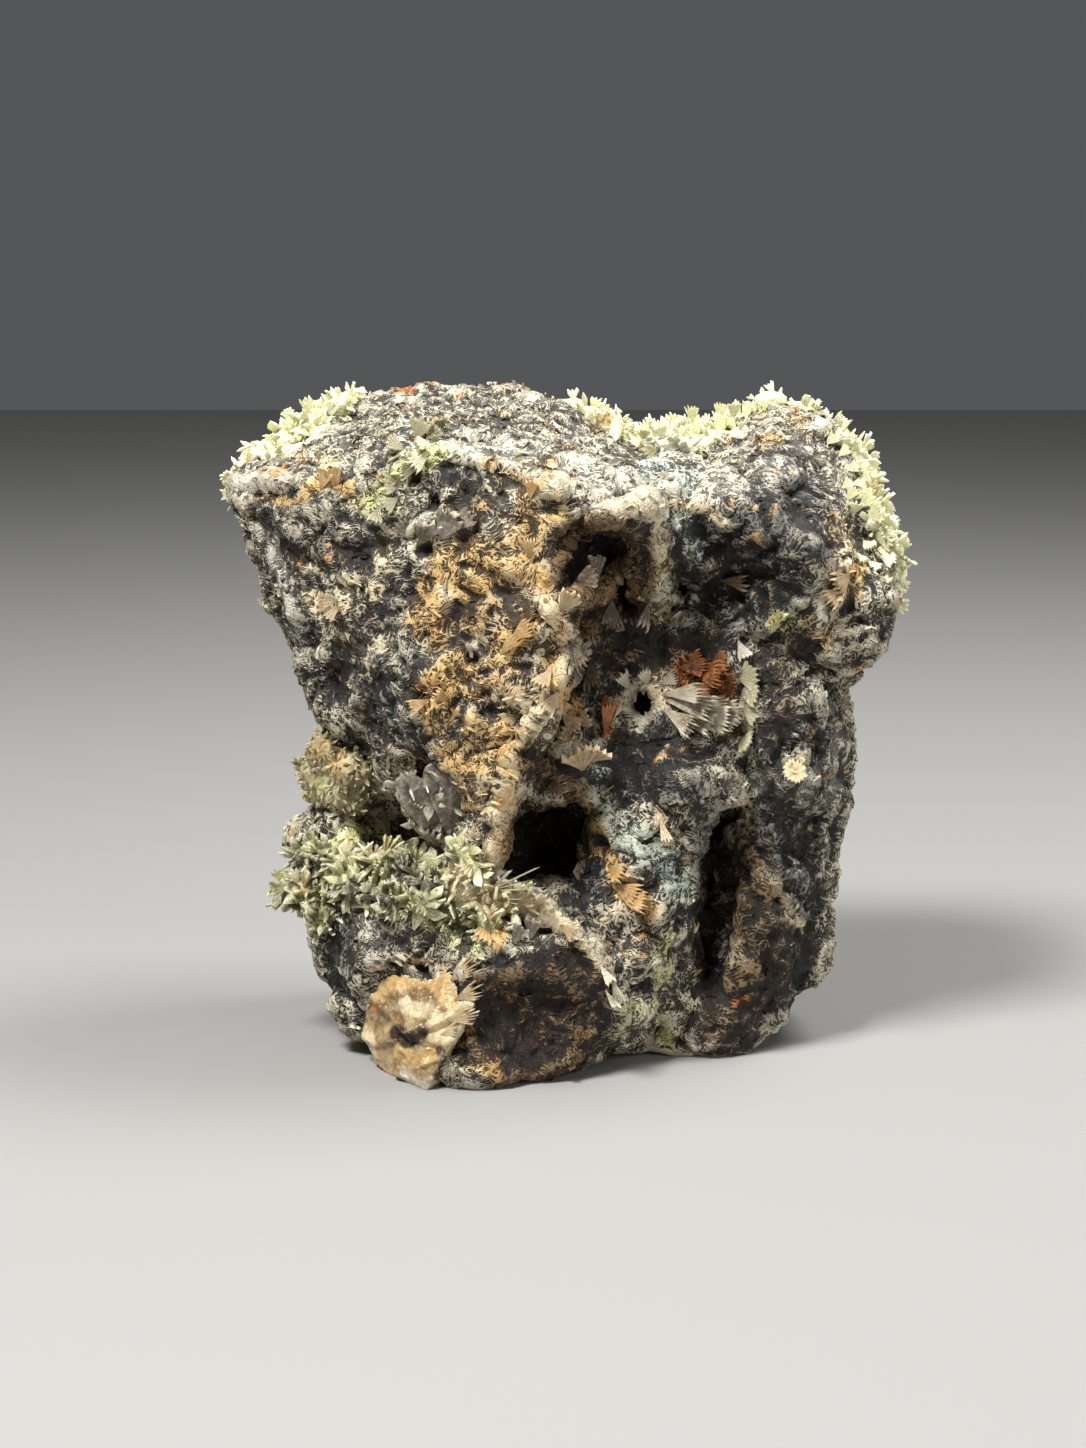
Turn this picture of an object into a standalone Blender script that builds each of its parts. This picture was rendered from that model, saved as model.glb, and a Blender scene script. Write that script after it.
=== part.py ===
"""A specimen of selenite on its matrix: a broken block of dark rock with crystals grown on it.

The frame is in metres with +Z up. The origin is the middle of the base, X runs to the right and
-Y points at the viewer of the broken front. Every size below is in millimetres, and MM turns it
into metres where it is used.
"""

import math
import random

import bmesh
import bpy
from mathutils import Euler, Matrix, Vector, noise
from mathutils.bvhtree import BVHTree

MM = 0.001
SEED = 7

# Driving sizes
VOXEL = 1.3
MATRIX_TRIANGLES = 4180
SMOOTH_SHARE = 0.5
FLOOR_DEPTH = 20.0
FLOOR_WIDTH = 300.0
GAP = 0.35
BLADE_GAP = 0.7
MERGE = 0.05
FLAT_ANGLE = math.radians(1.5)

# Corner points of the rock's blocks. Each block is the hull of its corners: front, crest, back.
SHIELD = [
    (-50, -4, 84), (-40, -13, 86), (-23, -18, 90), (-10, -21, 89), (11, -27, 84),
    (-47, -5, 76), (-41, -6, 64), (-37, -8, 49), (-24, -23, 56), (-3, -28, 56),
    (-2, -28, 67), (-10, -27, 41), (-11, -25, 32), (-19, -22, 32),
    (-48, 2, 87), (-37, 10, 93), (-30, 12, 96), (-16, 13, 98.5), (-8, 13, 98), (3, 13, 93),
    (12, 14, 87), (-47, 18, 79), (-36, 26, 86), (-10, 28, 88), (9, 28, 81), (-37, 18, 48),
    (-11, 20, 33),
]
SADDLE = [
    (9, -25, 84), (11, -10, 87), (19, -17, 84), (18, 14, 88), (12, 16, 88), (21, 14, 90),
    (12, -12, 74), (20, -12, 74), (10, 28, 82), (24, 28, 82),
]
RIB = [
    (8, -26, 83), (13, -22, 83), (15, -14, 70), (9, -16, 69), (11, -8, 65), (12, 0, 80), (15, 2, 66),
]
SHOULDER = [
    (18, -17, 84), (28, -21, 82), (34, -21, 77), (42, -14, 70), (47, -4, 67),
    (43, -2, 57), (34, -13, 62), (26, -8, 62), (18, -8, 68),
    (19, 14, 87), (24, 14, 91), (31, 13, 94), (39, 10, 94), (44, 6, 86), (46, 2, 80),
    (47.5, 0, 74),
    (22, 28, 81), (38, 28, 84), (46, 22, 70), (42, 18, 48), (22, 26, 47),
]
CORE = [
    (-41, 4, 80), (40, 0, 80), (40, 30, 80), (-38, 30, 82),
    (-34, -2, 47), (40, 0, 45), (40, 24, 42), (-33, 24, 44),
    (-30, -10, 2), (27, -6, 2), (24, 21, -1), (-26, 22, -1),
]
NECK = [
    (-2, -10, 68), (11, -12, 68), (28, -12, 62), (31, -15, 54), (29, -17, 47),
    (5, -17, 45), (-6, -18, 48), (-4, -14, 54),
    (-1, 20, 64), (34, 20, 58), (34, 20, 38), (-4, 20, 38),
]
BROWN_LEDGE = [
    (-9, -22, 47), (-1, -20, 49), (5, -19, 48), (6, -19, 40), (-9, -22, 40),
    (-1, 0, 48), (5, 0, 40), (-4, -6, 38),
]
RIGHT_COLUMN = [
    (26, -11, 61), (42, -2, 55), (43, -4, 41), (42, -4, 33), (34, -17, 54),
    (33, -18, 44), (28, -15, 36), (37, -11, 35), (30, -12, 62),
    (41, 18, 48), (40, 14, 30), (27, 10, 31),
]
LOWER_RIGHT = [
    (26, -8, 38), (41, -2, 32), (40, -4, 24), (39, -5, 16), (40, -2, 12), (30, -14, 33),
    (33, -8, 5), (27, -15, -1), (15, -18, -1), (20, -11, 12), (29, -18, 20),
    (23, -18, 3), (38, 16, 20), (28, 18, -1), (20, 10, 1),
]
MID_COLUMN = [
    (5, -18, 39), (11, -21, 42), (18, -18, 35), (19, -14, 23), (14, -22, 25),
    (6, -23, 23), (19, -12, 11), (8, -25, 11), (7, -19, 1), (12, -16, -1),
    (18, -14, -1), (0, -16, 24), (2, -8, 28), (5, 8, 2), (19, 6, 19),
]
SILL = [
    (-9, -23, 26), (3, -14, 26), (6, -27, 17), (-1, -28, 23), (-6, -27, 26), (-3, -6, 25),
    (6, 0, 18), (-6, 0, 18),
]
LEFT_MASS = [
    (-41, -5, 26), (-40, -8, 24), (-35, -9, 16), (-37, -9, 12), (-34, -12, 7),
    (-31, -17, 3), (-34, -13, 31), (-25, -20, 31), (-14, -25, 30), (-7, -25, 26),
    (-13, -27, 18), (-24, -24, 24), (-28, -23, 16), (-39, 16, 21), (-31, 18, -1), (-10, 4, 19),
]
SIDE_LUMP = [
    (-42, -4, 33), (-43, -4, 30), (-41, -5, 27), (-33, -12, 35), (-32, -14, 29),
    (-36, -8, 37), (-41, 12, 28), (-30, 0, 36), (-30, 0, 25),
]
FOOT = [
    (-30, -17, 3), (-26, -20, -1), (-18, -25, -1), (-13, -34, -1), (-12, -32, 17), (-17, -34, 1),
    (-28, -20, 16), (-21, -22, 18), (-10, -27, 23), (-1, -28, 23), (7, -28, 12),
    (6, -19, 1), (0, -24, -1), (-4, -30, -1), (-26, 4, -1), (5, 4, 3),
]
BLOCKS = [
    SHIELD, SADDLE, RIB, SHOULDER, CORE, NECK, BROWN_LEDGE, RIGHT_COLUMN, LOWER_RIGHT,
    MID_COLUMN, SILL, LEFT_MASS, SIDE_LUMP, FOOT,
]

# Rounded lumps: centre, half sizes, turn in degrees
LUMPS = [
    ((16, -14, 41), (10, 9, 7), (0, 8, 0)),
    ((36.5, -5, 14), (4, 5, 3.6), (0, 0, 0)),
    ((40, -7, 66), (8, 9, 10), (0, 0, 0)),
    ((-33, 2, 38), (5, 6, 8), (0, 0, 20)),
]
# Hollows eaten into the front and the underside: centre, half sizes, turn in degrees
HOLLOWS = [
    ((3, -27, 76), (6.5, 12, 6), (0, 25, 0)),
    ((4, -25, 64), (7, 11, 6), (0, 0, 0)),
    ((24, -24, 72), (8, 12, 7), (0, -12, 0)),
    ((11, -17, 53.5), (2.2, 7, 2.2), (0, 0, 0)),
    ((-3, -27, 33.5), (7, 17, 6.5), (0, 0, 0)),
    ((22, -21, 25), (4.8, 15, 16), (0, 4, 0)),
    ((35, -17, 33), (5.5, 6, 3.5), (0, 0, 0)),
    ((-20, -27, 40), (6, 9, 9), (0, -20, 0)),
    ((-29, -17, 43), (2.5, 8, 11), (0, -30, 0)),
    ((-4, -38, 9), (12, 11, 10), (0, 25, 0)),
    ((34, -17, 84), (2, 5, 2), (0, 0, 0)),
    ((0, 0, -2), (17, 13, 5), (0, 0, 0)),
    ((13, -20, 4), (2.5, 8, 3), (0, 0, 0)),
]

# Roughness of the broken surface: size of the chips and grains, how far they stand out, and how
# far from its border a chip is still sloped, as a share of its size
CHIP_SIZE = 10.0
CHIP_HEIGHT = 2.4
CHIP_SLOPE = 0.5
GRAIN_SIZE = 5.0
GRAIN_HEIGHT = 0.9
GRAIN_OCTAVES = 3

# The rim of the crystal crust on the crest, seen from above: X, and how far back it starts
RIM_LINE = [
    (-52, -2), (-44, 1), (-36, 7), (-31, 12), (-28, 20), (-5, 21), (-1, 16), (5, 11),
    (12, 7), (18, 1), (24, 6), (29, 11), (34, 15), (38, 13), (44, 2), (52, -5),
]
# Heights at which the rim turns back from the left and the right side, and the foot of the crust
LEFT_TURN = 84.0
RIGHT_TURN = 69.0
MOST_TURN = 16.0
CRUST_FOOT = 36.0
CRUST_THICKNESS = 1.9
CRUST_LUMP_SIZE = 5.0
CRUST_LUMP_SHARE = 0.5
COVERED_TRIANGLES = 460

# How a crust's border wanders: size of its bays and how deep they are
RIM_BAY = (9.0, 3.0)
VEIN_BAY = (7.0, 2.0)

# Least slope of the rock under the crust: to the back, upwards and to the right
CRUST_SIDES = (0.1, 0.25, 0.7)

# Blades along the rim of the crust, and scattered over the back of it
RIM_FOOT = 68.0
RIM_SPACING = 5.8
RIM_BLADE = (3.2, 5.2, 2.2)
RIM_LEAN = 0.9
BACK_SPACING = 20.0
BACK_BLADE = (3.6, 6.0, 2.4)

# How a blade narrows: height as a share of its length, and the width and thickness left there
BLADE_PROFILE = ((-0.35, 0.8, 1.0), (0.7, 1.0, 0.9), (1.0, 0.4, 0.0))
# How much chance there is in the lean and the turn of a blade, and in its size
LEAN_CHANCE = 0.35
TURN_CHANCE = 0.8
SIZE_CHANCE = 0.2
# The same for blades in a cluster, how far they lean out of it, and the turn from each to the next
CLUSTER_LEAN = 0.7
CLUSTER_LEAN_CHANCE = 0.2
CLUSTER_TURN_CHANCE = 0.6
GOLDEN_ANGLE = math.radians(137.5)

# Clusters of larger blades on the rim: centre, direction, radius, blade length, count
RIM_CLUSTERS = [
    ((-40, 5, 90), (-0.3, -0.4, 0.9), 2.6, 3.4, 3),
    ((16, 3, 85), (0.0, -0.6, 0.8), 3.0, 4.0, 3),
    ((23, 8, 90), (-0.3, -0.5, 0.9), 3.0, 3.6, 3),
    ((45, -3, 74), (0.8, -0.6, 0.1), 4.0, 4.8, 5),
]

# The vein of blades across the lower left, seen from the front: X and Z along it
VEIN_LINE = [(-39.5, 25), (-33, 27.5), (-24.5, 30), (-15.6, 29), (-9.8, 27), (-5, 24)]
VEIN_HALF_WIDTH = 4.2
VEIN_THICKNESS = 1.3
VEIN_SPACING = 8.4
VEIN_BLADE = (3.6, 5.0, 2.2)
VEIN_LEAN = 0.3

# The pocket beside the small round hole: middle in X and Z, half sizes, crust and blades
POCKET_CENTRE = (18.5, 54.5)
POCKET_HALF_SIZES = (5.8, 3.8)
POCKET_HOLE = (11, 53.5)
POCKET_HOLE_RADIUS = 2.6
POCKET_THICKNESS = 0.8
POCKET_SPACING = 2.6
POCKET_BLADE = (3.8, 2.6, 1.1)
POCKET_RISE = 0.5

# The pale star on the right column, found by looking at it from in front
STAR_PLACE = (33, 44)
IN_FRONT = -60
STAR_RADIUS = 1.1
STAR_BLADE_LENGTH = 1.7
STAR_BLADES = 5

# The honey crystal at the front left foot
HONEY_CORNERS = [
    (-28.6, -20, 14), (-22, -25, 17), (-12, -29, 18), (-12.6, -31, 15), (-14.6, -32.5, 11.5),
    (-17.5, -33.5, 6.6), (-21, -33.5, -1), (-25, -28, -1), (-29, -22, 1), (-30.6, -18, 4.4),
    (-29.8, -18, 9), (-22, -31, 10), (-26, -12, 12), (-14, -22, 14), (-26, -14, 1), (-16, -25, -1),
]
# The cream crystals at the left edge: centre, half sizes, turn in degrees
CREAM_CRYSTALS = [
    ((-35, -7, 44), (5.0, 6.0, 4.4), (10, 20, 30)),
    ((-37, -5, 40), (4.2, 6.0, 5.0), (0, -15, 10)),
    ((-32.5, -10, 40.5), (3.6, 4.2, 5.6), (15, 10, -20)),
]
CREAM_UNEVENNESS = 0.5
# The clear blades in the recess: foot, direction, length, width, thickness
CLEAR_BLADES = [
    ((-17, -21, 38), (-0.35, -0.30, 1.0), 9.0, 5.0, 2.2),
    ((-20, -21, 37), (-0.55, -0.35, 0.9), 9.0, 4.6, 2.0),
    ((-16, -21, 39), (0.05, -0.30, 1.0), 8.0, 4.2, 2.0),
    ((-22, -20, 39), (-0.30, -0.30, 0.9), 7.5, 4.0, 1.8),
]
CLEAR_ACROSS = (1, 0.3, 0.2)


def clear_scene():
    """Removes whatever the file opened with."""
    for obj in list(bpy.data.objects):
        bpy.data.objects.remove(obj)


def new_collection(name):
    """A collection linked to the scene."""
    made = bpy.data.collections.new(name)
    bpy.context.scene.collection.children.link(made)
    return made


def principled(name, colour, roughness, metallic=0.0):
    """A plain material with one colour."""
    material = bpy.data.materials.new(name)
    material.use_nodes = True
    shader = material.node_tree.nodes["Principled BSDF"]
    shader.inputs["Base Color"].default_value = (*colour, 1.0)
    shader.inputs["Roughness"].default_value = roughness
    shader.inputs["Metallic"].default_value = metallic
    return material


def add_object(name, mesh, collection):
    """An object for a mesh, linked to a collection."""
    obj = bpy.data.objects.new(name, mesh)
    collection.objects.link(obj)
    return obj


def mesh_from(bm, name):
    """A mesh made from a bmesh, which is freed."""
    mesh = bpy.data.meshes.new(name)
    bm.to_mesh(mesh)
    bm.free()
    return mesh


def add_hull(bm, points):
    """Adds the hull of some points, given in metres."""
    verts = [bm.verts.new(point) for point in points]
    hull = bmesh.ops.convex_hull(bm, input=verts)
    inside = [v for v in hull["geom_interior"] if isinstance(v, bmesh.types.BMVert)]
    bmesh.ops.delete(bm, geom=inside, context="VERTS")


def add_block(bm, corners):
    """Adds the hull of some corner points, given in millimetres."""
    add_hull(bm, [Vector(corner) * MM for corner in corners])


def add_ball(bm, centre, half_sizes, turn, subdivisions=3):
    """Adds a stretched ball, given in millimetres and degrees."""
    place = (
        Matrix.Translation(Vector(centre) * MM)
        @ Euler([math.radians(a) for a in turn]).to_matrix().to_4x4()
        @ Matrix.Diagonal((*[h * MM for h in half_sizes], 1.0))
    )
    bmesh.ops.create_icosphere(bm, subdivisions=subdivisions, radius=1.0, matrix=place)


def evaluated_mesh(obj):
    """The mesh that an object's modifiers make."""
    bpy.context.view_layer.update()
    graph = bpy.context.evaluated_depsgraph_get()
    return bpy.data.meshes.new_from_object(obj.evaluated_get(graph))


def triangle_count(mesh):
    """How many triangles a mesh comes to."""
    return sum(len(polygon.vertices) - 2 for polygon in mesh.polygons)


def apply_modifiers(obj):
    """Replaces an object's mesh by what its modifiers make of it."""
    mesh = evaluated_mesh(obj)
    obj.modifiers.clear()
    obj.data = mesh


def add_remesh(obj, voxel, smooth_steps):
    """Joins what overlaps into one skin and rounds it a little."""
    remesh = obj.modifiers.new("skin", "REMESH")
    remesh.mode = "VOXEL"
    remesh.voxel_size = voxel * MM
    smooth = obj.modifiers.new("smooth", "SMOOTH")
    smooth.factor = SMOOTH_SHARE
    smooth.iterations = smooth_steps


def add_boolean(obj, cutter, operation):
    """Adds an exact Boolean with another object."""
    boolean = obj.modifiers.new(operation.lower(), "BOOLEAN")
    boolean.object = cutter
    boolean.operation = operation
    boolean.solver = "EXACT"
    boolean.use_self = True
    return boolean


def keep_largest_body(mesh):
    """Deletes every loose body of a mesh but the one with the most faces."""
    bm = bmesh.new()
    bm.from_mesh(mesh)
    left = set(bm.faces)
    bodies = []
    while left:
        body = set()
        front = [left.pop()]
        while front:
            face = front.pop()
            body.add(face)
            joins = [edge for edge in face.edges if len(edge.link_faces) == 2]
            near = {f for edge in joins for f in edge.link_faces if f in left}
            left -= near
            front.extend(near)
        bodies.append(body)
    bodies.sort(key=len)
    for body in bodies[:-1]:
        bmesh.ops.delete(bm, geom=list(body), context="FACES")
    loose = [edge for edge in bm.edges if edge.is_wire]
    bmesh.ops.delete(bm, geom=loose, context="EDGES")
    bm.to_mesh(mesh)
    bm.free()


def close_slits(mesh):
    """Fills the hair-thin slits that merging points can leave."""
    bm = bmesh.new()
    bm.from_mesh(mesh)
    slits = [edge for edge in bm.edges if edge.is_boundary]
    filled = bmesh.ops.holes_fill(bm, edges=slits, sides=0)
    bmesh.ops.triangulate(bm, faces=filled["faces"])
    bm.to_mesh(mesh)
    bm.free()


def roughness_at(point):
    """How far the broken rock stands out at a point, in metres."""
    chip_point = point / (CHIP_SIZE * MM)
    distances = noise.voronoi(chip_point)[0]
    chips = min(distances[1] - distances[0], CHIP_SLOPE) - CHIP_SLOPE / 2
    lumps = noise.fractal(point / (GRAIN_SIZE * MM), 1.0, 2.0, GRAIN_OCTAVES)
    return MM * (CHIP_HEIGHT * chips + GRAIN_HEIGHT * lumps)


def roughen(mesh):
    """Moves every point of a mesh along its normal by the roughness there."""
    normals = [Vector(v.normal) for v in mesh.vertices]
    for vertex, normal in zip(mesh.vertices, normals):
        vertex.co += normal * roughness_at(vertex.co)


def make_cutter(name, mesh, collection):
    """An object that only cuts others."""
    cutter = add_object(name, mesh, collection)
    cutter.hide_render = True
    cutter.display_type = "WIRE"
    return cutter


def floor_cutter(collection):
    """A slab under the floor, which leaves flat feet where the rock rests."""
    bm = bmesh.new()
    bmesh.ops.create_cube(
        bm,
        size=1.0,
        matrix=Matrix.Translation((0, 0, -FLOOR_DEPTH / 2 * MM))
        @ Matrix.Diagonal((FLOOR_WIDTH * MM, FLOOR_WIDTH * MM, FLOOR_DEPTH * MM, 1.0)),
    )
    return make_cutter("under_floor", mesh_from(bm, "under_floor"), collection)


def add_decimate(obj, triangles, group=""):
    """Makes a triangle mesh coarser, in a vertex group only if one is named."""
    decimate = obj.modifiers.new("facets", "DECIMATE")
    decimate.ratio = triangles / triangle_count(obj.data)
    decimate.vertex_group = group
    apply_modifiers(obj)


def make_matrix(parts, cutters, floor):
    """The rock: blocks and lumps in one skin, hollowed, roughened and set on flat feet."""
    bm = bmesh.new()
    for corners in BLOCKS:
        add_block(bm, corners)
    for centre, half_sizes, turn in LUMPS:
        add_ball(bm, centre, half_sizes, turn)
    rock = add_object("matrix", mesh_from(bm, "matrix"), parts)
    add_remesh(rock, VOXEL, 1)
    apply_modifiers(rock)

    bm = bmesh.new()
    for centre, half_sizes, turn in HOLLOWS:
        add_ball(bm, centre, half_sizes, turn)
    hollows = make_cutter("hollows", mesh_from(bm, "hollows"), cutters)
    add_boolean(rock, hollows, "DIFFERENCE")
    add_remesh(rock, VOXEL, 2)
    apply_modifiers(rock)

    roughen(rock.data)
    add_decimate(rock, MATRIX_TRIANGLES)
    covered = [v.index for v in rock.data.vertices if on_crust(v.co, v.normal)]
    rock.vertex_groups.new(name="covered").add(covered, 1.0, "REPLACE")
    hidden = sum(on_crust(f.center, f.normal) for f in rock.data.polygons)
    add_decimate(rock, triangle_count(rock.data) - hidden + COVERED_TRIANGLES, "covered")
    add_boolean(rock, floor, "DIFFERENCE")
    apply_modifiers(rock)
    finish(rock, "dark rock", (0.16, 0.15, 0.14), 0.85)
    return rock


def merge_slivers(mesh):
    """Merges points closer than the merge distance and joins faces that lie in one plane."""
    bm = bmesh.new()
    bm.from_mesh(mesh)
    bmesh.ops.remove_doubles(bm, verts=bm.verts, dist=MERGE * MM)
    bmesh.ops.dissolve_degenerate(bm, edges=bm.edges, dist=MERGE * MM)
    bmesh.ops.dissolve_limit(bm, angle_limit=FLAT_ANGLE, verts=bm.verts, edges=bm.edges)
    bmesh.ops.triangulate(bm, faces=bm.faces)
    bm.to_mesh(mesh)
    bm.free()


def finish(obj, material_name, colour, roughness):
    """Keeps the one body of a piece and gives it its material."""
    merge_slivers(obj.data)
    keep_largest_body(obj.data)
    close_slits(obj.data)
    obj.data.materials.clear()
    obj.data.materials.append(principled(material_name, colour, roughness))


def grown_copy(piece, gap, cutters):
    """A copy of a piece that stands out by the gap, to cut its neighbours clear of it."""
    grown = make_cutter("grown_" + piece.name, piece.data.copy(), cutters)
    swell = grown.modifiers.new("swell", "DISPLACE")
    swell.strength = gap * MM
    swell.mid_level = 0.0
    apply_modifiers(grown)
    return grown


def between(x, line):
    """The value at x on a line of (x, value) points."""
    for (x0, v0), (x1, v1) in zip(line, line[1:]):
        if x <= x1:
            return v0 + (v1 - v0) * (x - x0) / (x1 - x0)
    return line[-1][1]


def wander(centre, bay):
    """How far a crust's border strays at a point, for bays of a size and a depth."""
    size, depth = bay
    return depth * noise.noise(centre / (size * MM))


def on_crust(centre, normal):
    """Whether a point of the rock lies under the crust: behind the rim and above its foot."""
    x, y, z = centre / MM
    bay = wander(centre, RIM_BAY)
    turn = max((LEFT_TURN if x < 0 else RIGHT_TURN) - z, 0.0)
    behind = y + bay / 2 > between(x, RIM_LINE) + min(turn, MOST_TURN)
    back, top, side = CRUST_SIDES
    outward = normal.y > back or normal.z > top or normal.x > side
    return behind and outward and z + 2 * bay > CRUST_FOOT


def on_vein(centre, normal):
    """Whether a point of the rock lies under the vein of the lower left."""
    x, _, z = centre / MM
    if not VEIN_LINE[0][0] < x < VEIN_LINE[-1][0]:
        return False
    reach = VEIN_HALF_WIDTH + wander(centre, VEIN_BAY)
    return normal.y < CRUST_SIDES[0] and abs(z - between(x, VEIN_LINE)) < reach


def in_pocket(centre, normal):
    """Whether a point of the rock lies on the wall of the pocket, clear of its round hole."""
    x, y, z = centre / MM
    across = (x - POCKET_CENTRE[0]) / POCKET_HALF_SIZES[0]
    up = (z - POCKET_CENTRE[1]) / POCKET_HALF_SIZES[1]
    clear = math.hypot(x - POCKET_HOLE[0], z - POCKET_HOLE[1]) > POCKET_HOLE_RADIUS
    in_front = normal.y < -CRUST_SIDES[0] and y < 0
    return in_front and clear and math.hypot(across, up) < 1.0


def drop_pinches(bm):
    """Deletes the faces round any point where two borders meet."""
    pinched = True
    while pinched:
        pinched = [v for v in bm.verts if sum(e.is_boundary for e in v.link_edges) > 2]
        faces = {face for v in pinched for face in v.link_faces}
        bmesh.ops.delete(bm, geom=list(faces), context="FACES")


def covered_patch(rock, covered):
    """The part of the rock's surface that a crust covers, in one patch."""
    bm = bmesh.new()
    bm.from_mesh(rock.data)
    bm.normal_update()
    bare = [f for f in bm.faces if not covered(f.calc_center_median(), f.normal)]
    bmesh.ops.delete(bm, geom=bare, context="FACES")
    drop_pinches(bm)
    patch = mesh_from(bm, "patch")
    keep_largest_body(patch)
    return patch


def patch_spots(patch, spacing, on_border, lowest=0.0):
    """Points of a patch that keep a spacing, as (point, normal, direction off the patch)."""
    bm = bmesh.new()
    bm.from_mesh(patch)
    bm.normal_update()
    spots = []
    for vert in bm.verts:
        if vert.is_boundary != on_border or vert.co.z < lowest * MM:
            continue
        if any((vert.co - spot[0]).length < spacing * MM for spot in spots):
            continue
        middle = sum((f.calc_center_median() for f in vert.link_faces), Vector())
        off = vert.co - middle / len(vert.link_faces)
        spots.append((vert.co.copy(), vert.normal.copy(), off.normalized()))
    bm.free()
    return spots


def crust_sheet(patch, thickness):
    """A closed lumpy sheet on a patch. Its underside lies in the rock, to be cut away."""
    bm = bmesh.new()
    bm.from_mesh(patch)
    bm.normal_update()
    faces = list(bm.faces)
    rim = [edge for edge in bm.edges if edge.is_boundary]
    tops = {}
    for vert in list(bm.verts):
        lump = 1.0 + CRUST_LUMP_SHARE * noise.noise(vert.co / (CRUST_LUMP_SIZE * MM))
        tops[vert] = bm.verts.new(vert.co + vert.normal * (thickness * lump + GAP) * MM)
    for face in faces:
        bm.faces.new([tops[vert] for vert in face.verts])
    for edge in rim:
        start, end = edge.verts
        bm.faces.new((start, end, tops[end], tops[start]))
    bmesh.ops.recalc_face_normals(bm, faces=bm.faces)
    return mesh_from(bm, "sheet")


def add_blade(bm, foot, along, across, size):
    """Adds a tabular crystal with flat sides and a chisel tip. The foot is in metres."""
    length, width, thickness = (value * MM for value in size)
    along = along.normalized()
    across = (across - along * across.dot(along)).normalized()
    out = along.cross(across)
    points = []
    for share, wide, thick in BLADE_PROFILE:
        for side in (-1, 1):
            for face in (-1, 1) if thick else (0,):
                points.append(
                    foot
                    + along * length * share
                    + across * side * width / 2 * wide
                    + out * face * thickness / 2 * thick
                )
    add_hull(bm, points)


def any_direction():
    """A random direction."""
    return Vector([random.gauss(0, 1) for _ in range(3)]).normalized()


def varied(size):
    """A size that differs a little from the one given."""
    return [value * random.uniform(1 - SIZE_CHANCE, 1 + SIZE_CHANCE) for value in size]


def add_cluster(bm, centre, direction, radius, size, count):
    """Adds blades that stand close together and lean outward. The centre is in metres."""
    direction = Vector(direction).normalized()
    side = direction.orthogonal().normalized()
    for step in range(count):
        reach = math.sqrt((step + 0.5) / count)
        turn = Matrix.Rotation(step * GOLDEN_ANGLE, 3, direction)
        offset = turn @ side * reach
        along = direction + CLUSTER_LEAN * offset + CLUSTER_LEAN_CHANCE * any_direction()
        across = turn @ direction.cross(side) + CLUSTER_TURN_CHANCE * any_direction()
        add_blade(bm, centre + offset * radius * MM, along, across, varied(size))


def add_spot_blades(bm, spots, size, lean=0.0):
    """Adds one blade on each spot. They lean off the patch by the share given."""
    for point, normal, off in spots:
        along = normal + lean * off + LEAN_CHANCE * any_direction()
        across = normal.cross(off) + TURN_CHANCE * any_direction()
        add_blade(bm, point + normal * GAP * MM, along, across, varied(size))


def make_piece(name, solid, clear_of, parts, blades=None):
    """A crystal piece: a solid joined with its blades, then cut clear of its neighbours."""
    piece = add_object(name, solid, parts)
    if blades is not None:
        add_boolean(piece, blades, "UNION")
    for cutter in clear_of:
        add_boolean(piece, cutter, "DIFFERENCE")
    apply_modifiers(piece)
    return piece


def make_crust(rock, grown, parts, cutters):
    """The crust over the crest and the back: a lumpy sheet with blades on it and on its rim."""
    patch = covered_patch(rock, on_crust)
    bm = bmesh.new()
    add_spot_blades(bm, patch_spots(patch, RIM_SPACING, True, RIM_FOOT), RIM_BLADE, RIM_LEAN)
    add_spot_blades(bm, patch_spots(patch, BACK_SPACING, False), BACK_BLADE)
    for centre, direction, radius, length, count in RIM_CLUSTERS:
        size = (length, *RIM_BLADE[1:])
        add_cluster(bm, Vector(centre) * MM, direction, radius, size, count)
    blades = make_cutter("crust_blades", mesh_from(bm, "crust_blades"), cutters)
    sheet = crust_sheet(patch, CRUST_THICKNESS)
    crust = make_piece("selenite_crust", sheet, [grown], parts, blades)
    finish(crust, "pale green selenite", (0.72, 0.78, 0.5), 0.4)


def make_vein(rock, grown, parts, cutters):
    """The band of greenish blades that arches over the lower left lump."""
    patch = covered_patch(rock, on_vein)
    bm = bmesh.new()
    for on_border in (False, True):
        spots = patch_spots(patch, VEIN_SPACING, on_border)
        add_spot_blades(bm, spots, VEIN_BLADE, VEIN_LEAN if on_border else 0.0)
    blades = make_cutter("vein_blades", mesh_from(bm, "vein_blades"), cutters)
    sheet = crust_sheet(patch, VEIN_THICKNESS)
    vein = make_piece("vein_crust", sheet, [grown], parts, blades)
    finish(vein, "yellow green selenite", (0.55, 0.56, 0.3), 0.4)
    return vein


def make_pocket(rock, grown, parts, cutters):
    """The crust in the pocket: blades that fan out from beside the round hole."""
    patch = covered_patch(rock, in_pocket)
    hub = Vector((POCKET_HOLE[0], 0, POCKET_HOLE[1])) * MM
    bm = bmesh.new()
    for on_border in (False, True):
        for point, normal, _ in patch_spots(patch, POCKET_SPACING, on_border):
            away = (point - hub) * Vector((1, 0, 1))
            along = away.normalized() + POCKET_RISE * normal + CLUSTER_LEAN_CHANCE * any_direction()
            across = normal.cross(away.normalized()) + TURN_CHANCE * any_direction()
            add_blade(bm, point + normal * GAP * MM, along, across, varied(POCKET_BLADE))
    blades = make_cutter("pocket_blades", mesh_from(bm, "pocket_blades"), cutters)
    sheet = crust_sheet(patch, POCKET_THICKNESS)
    pocket = make_piece("pocket_spray", sheet, [grown], parts, blades)
    finish(pocket, "white selenite", (0.75, 0.72, 0.66), 0.4)


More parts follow.
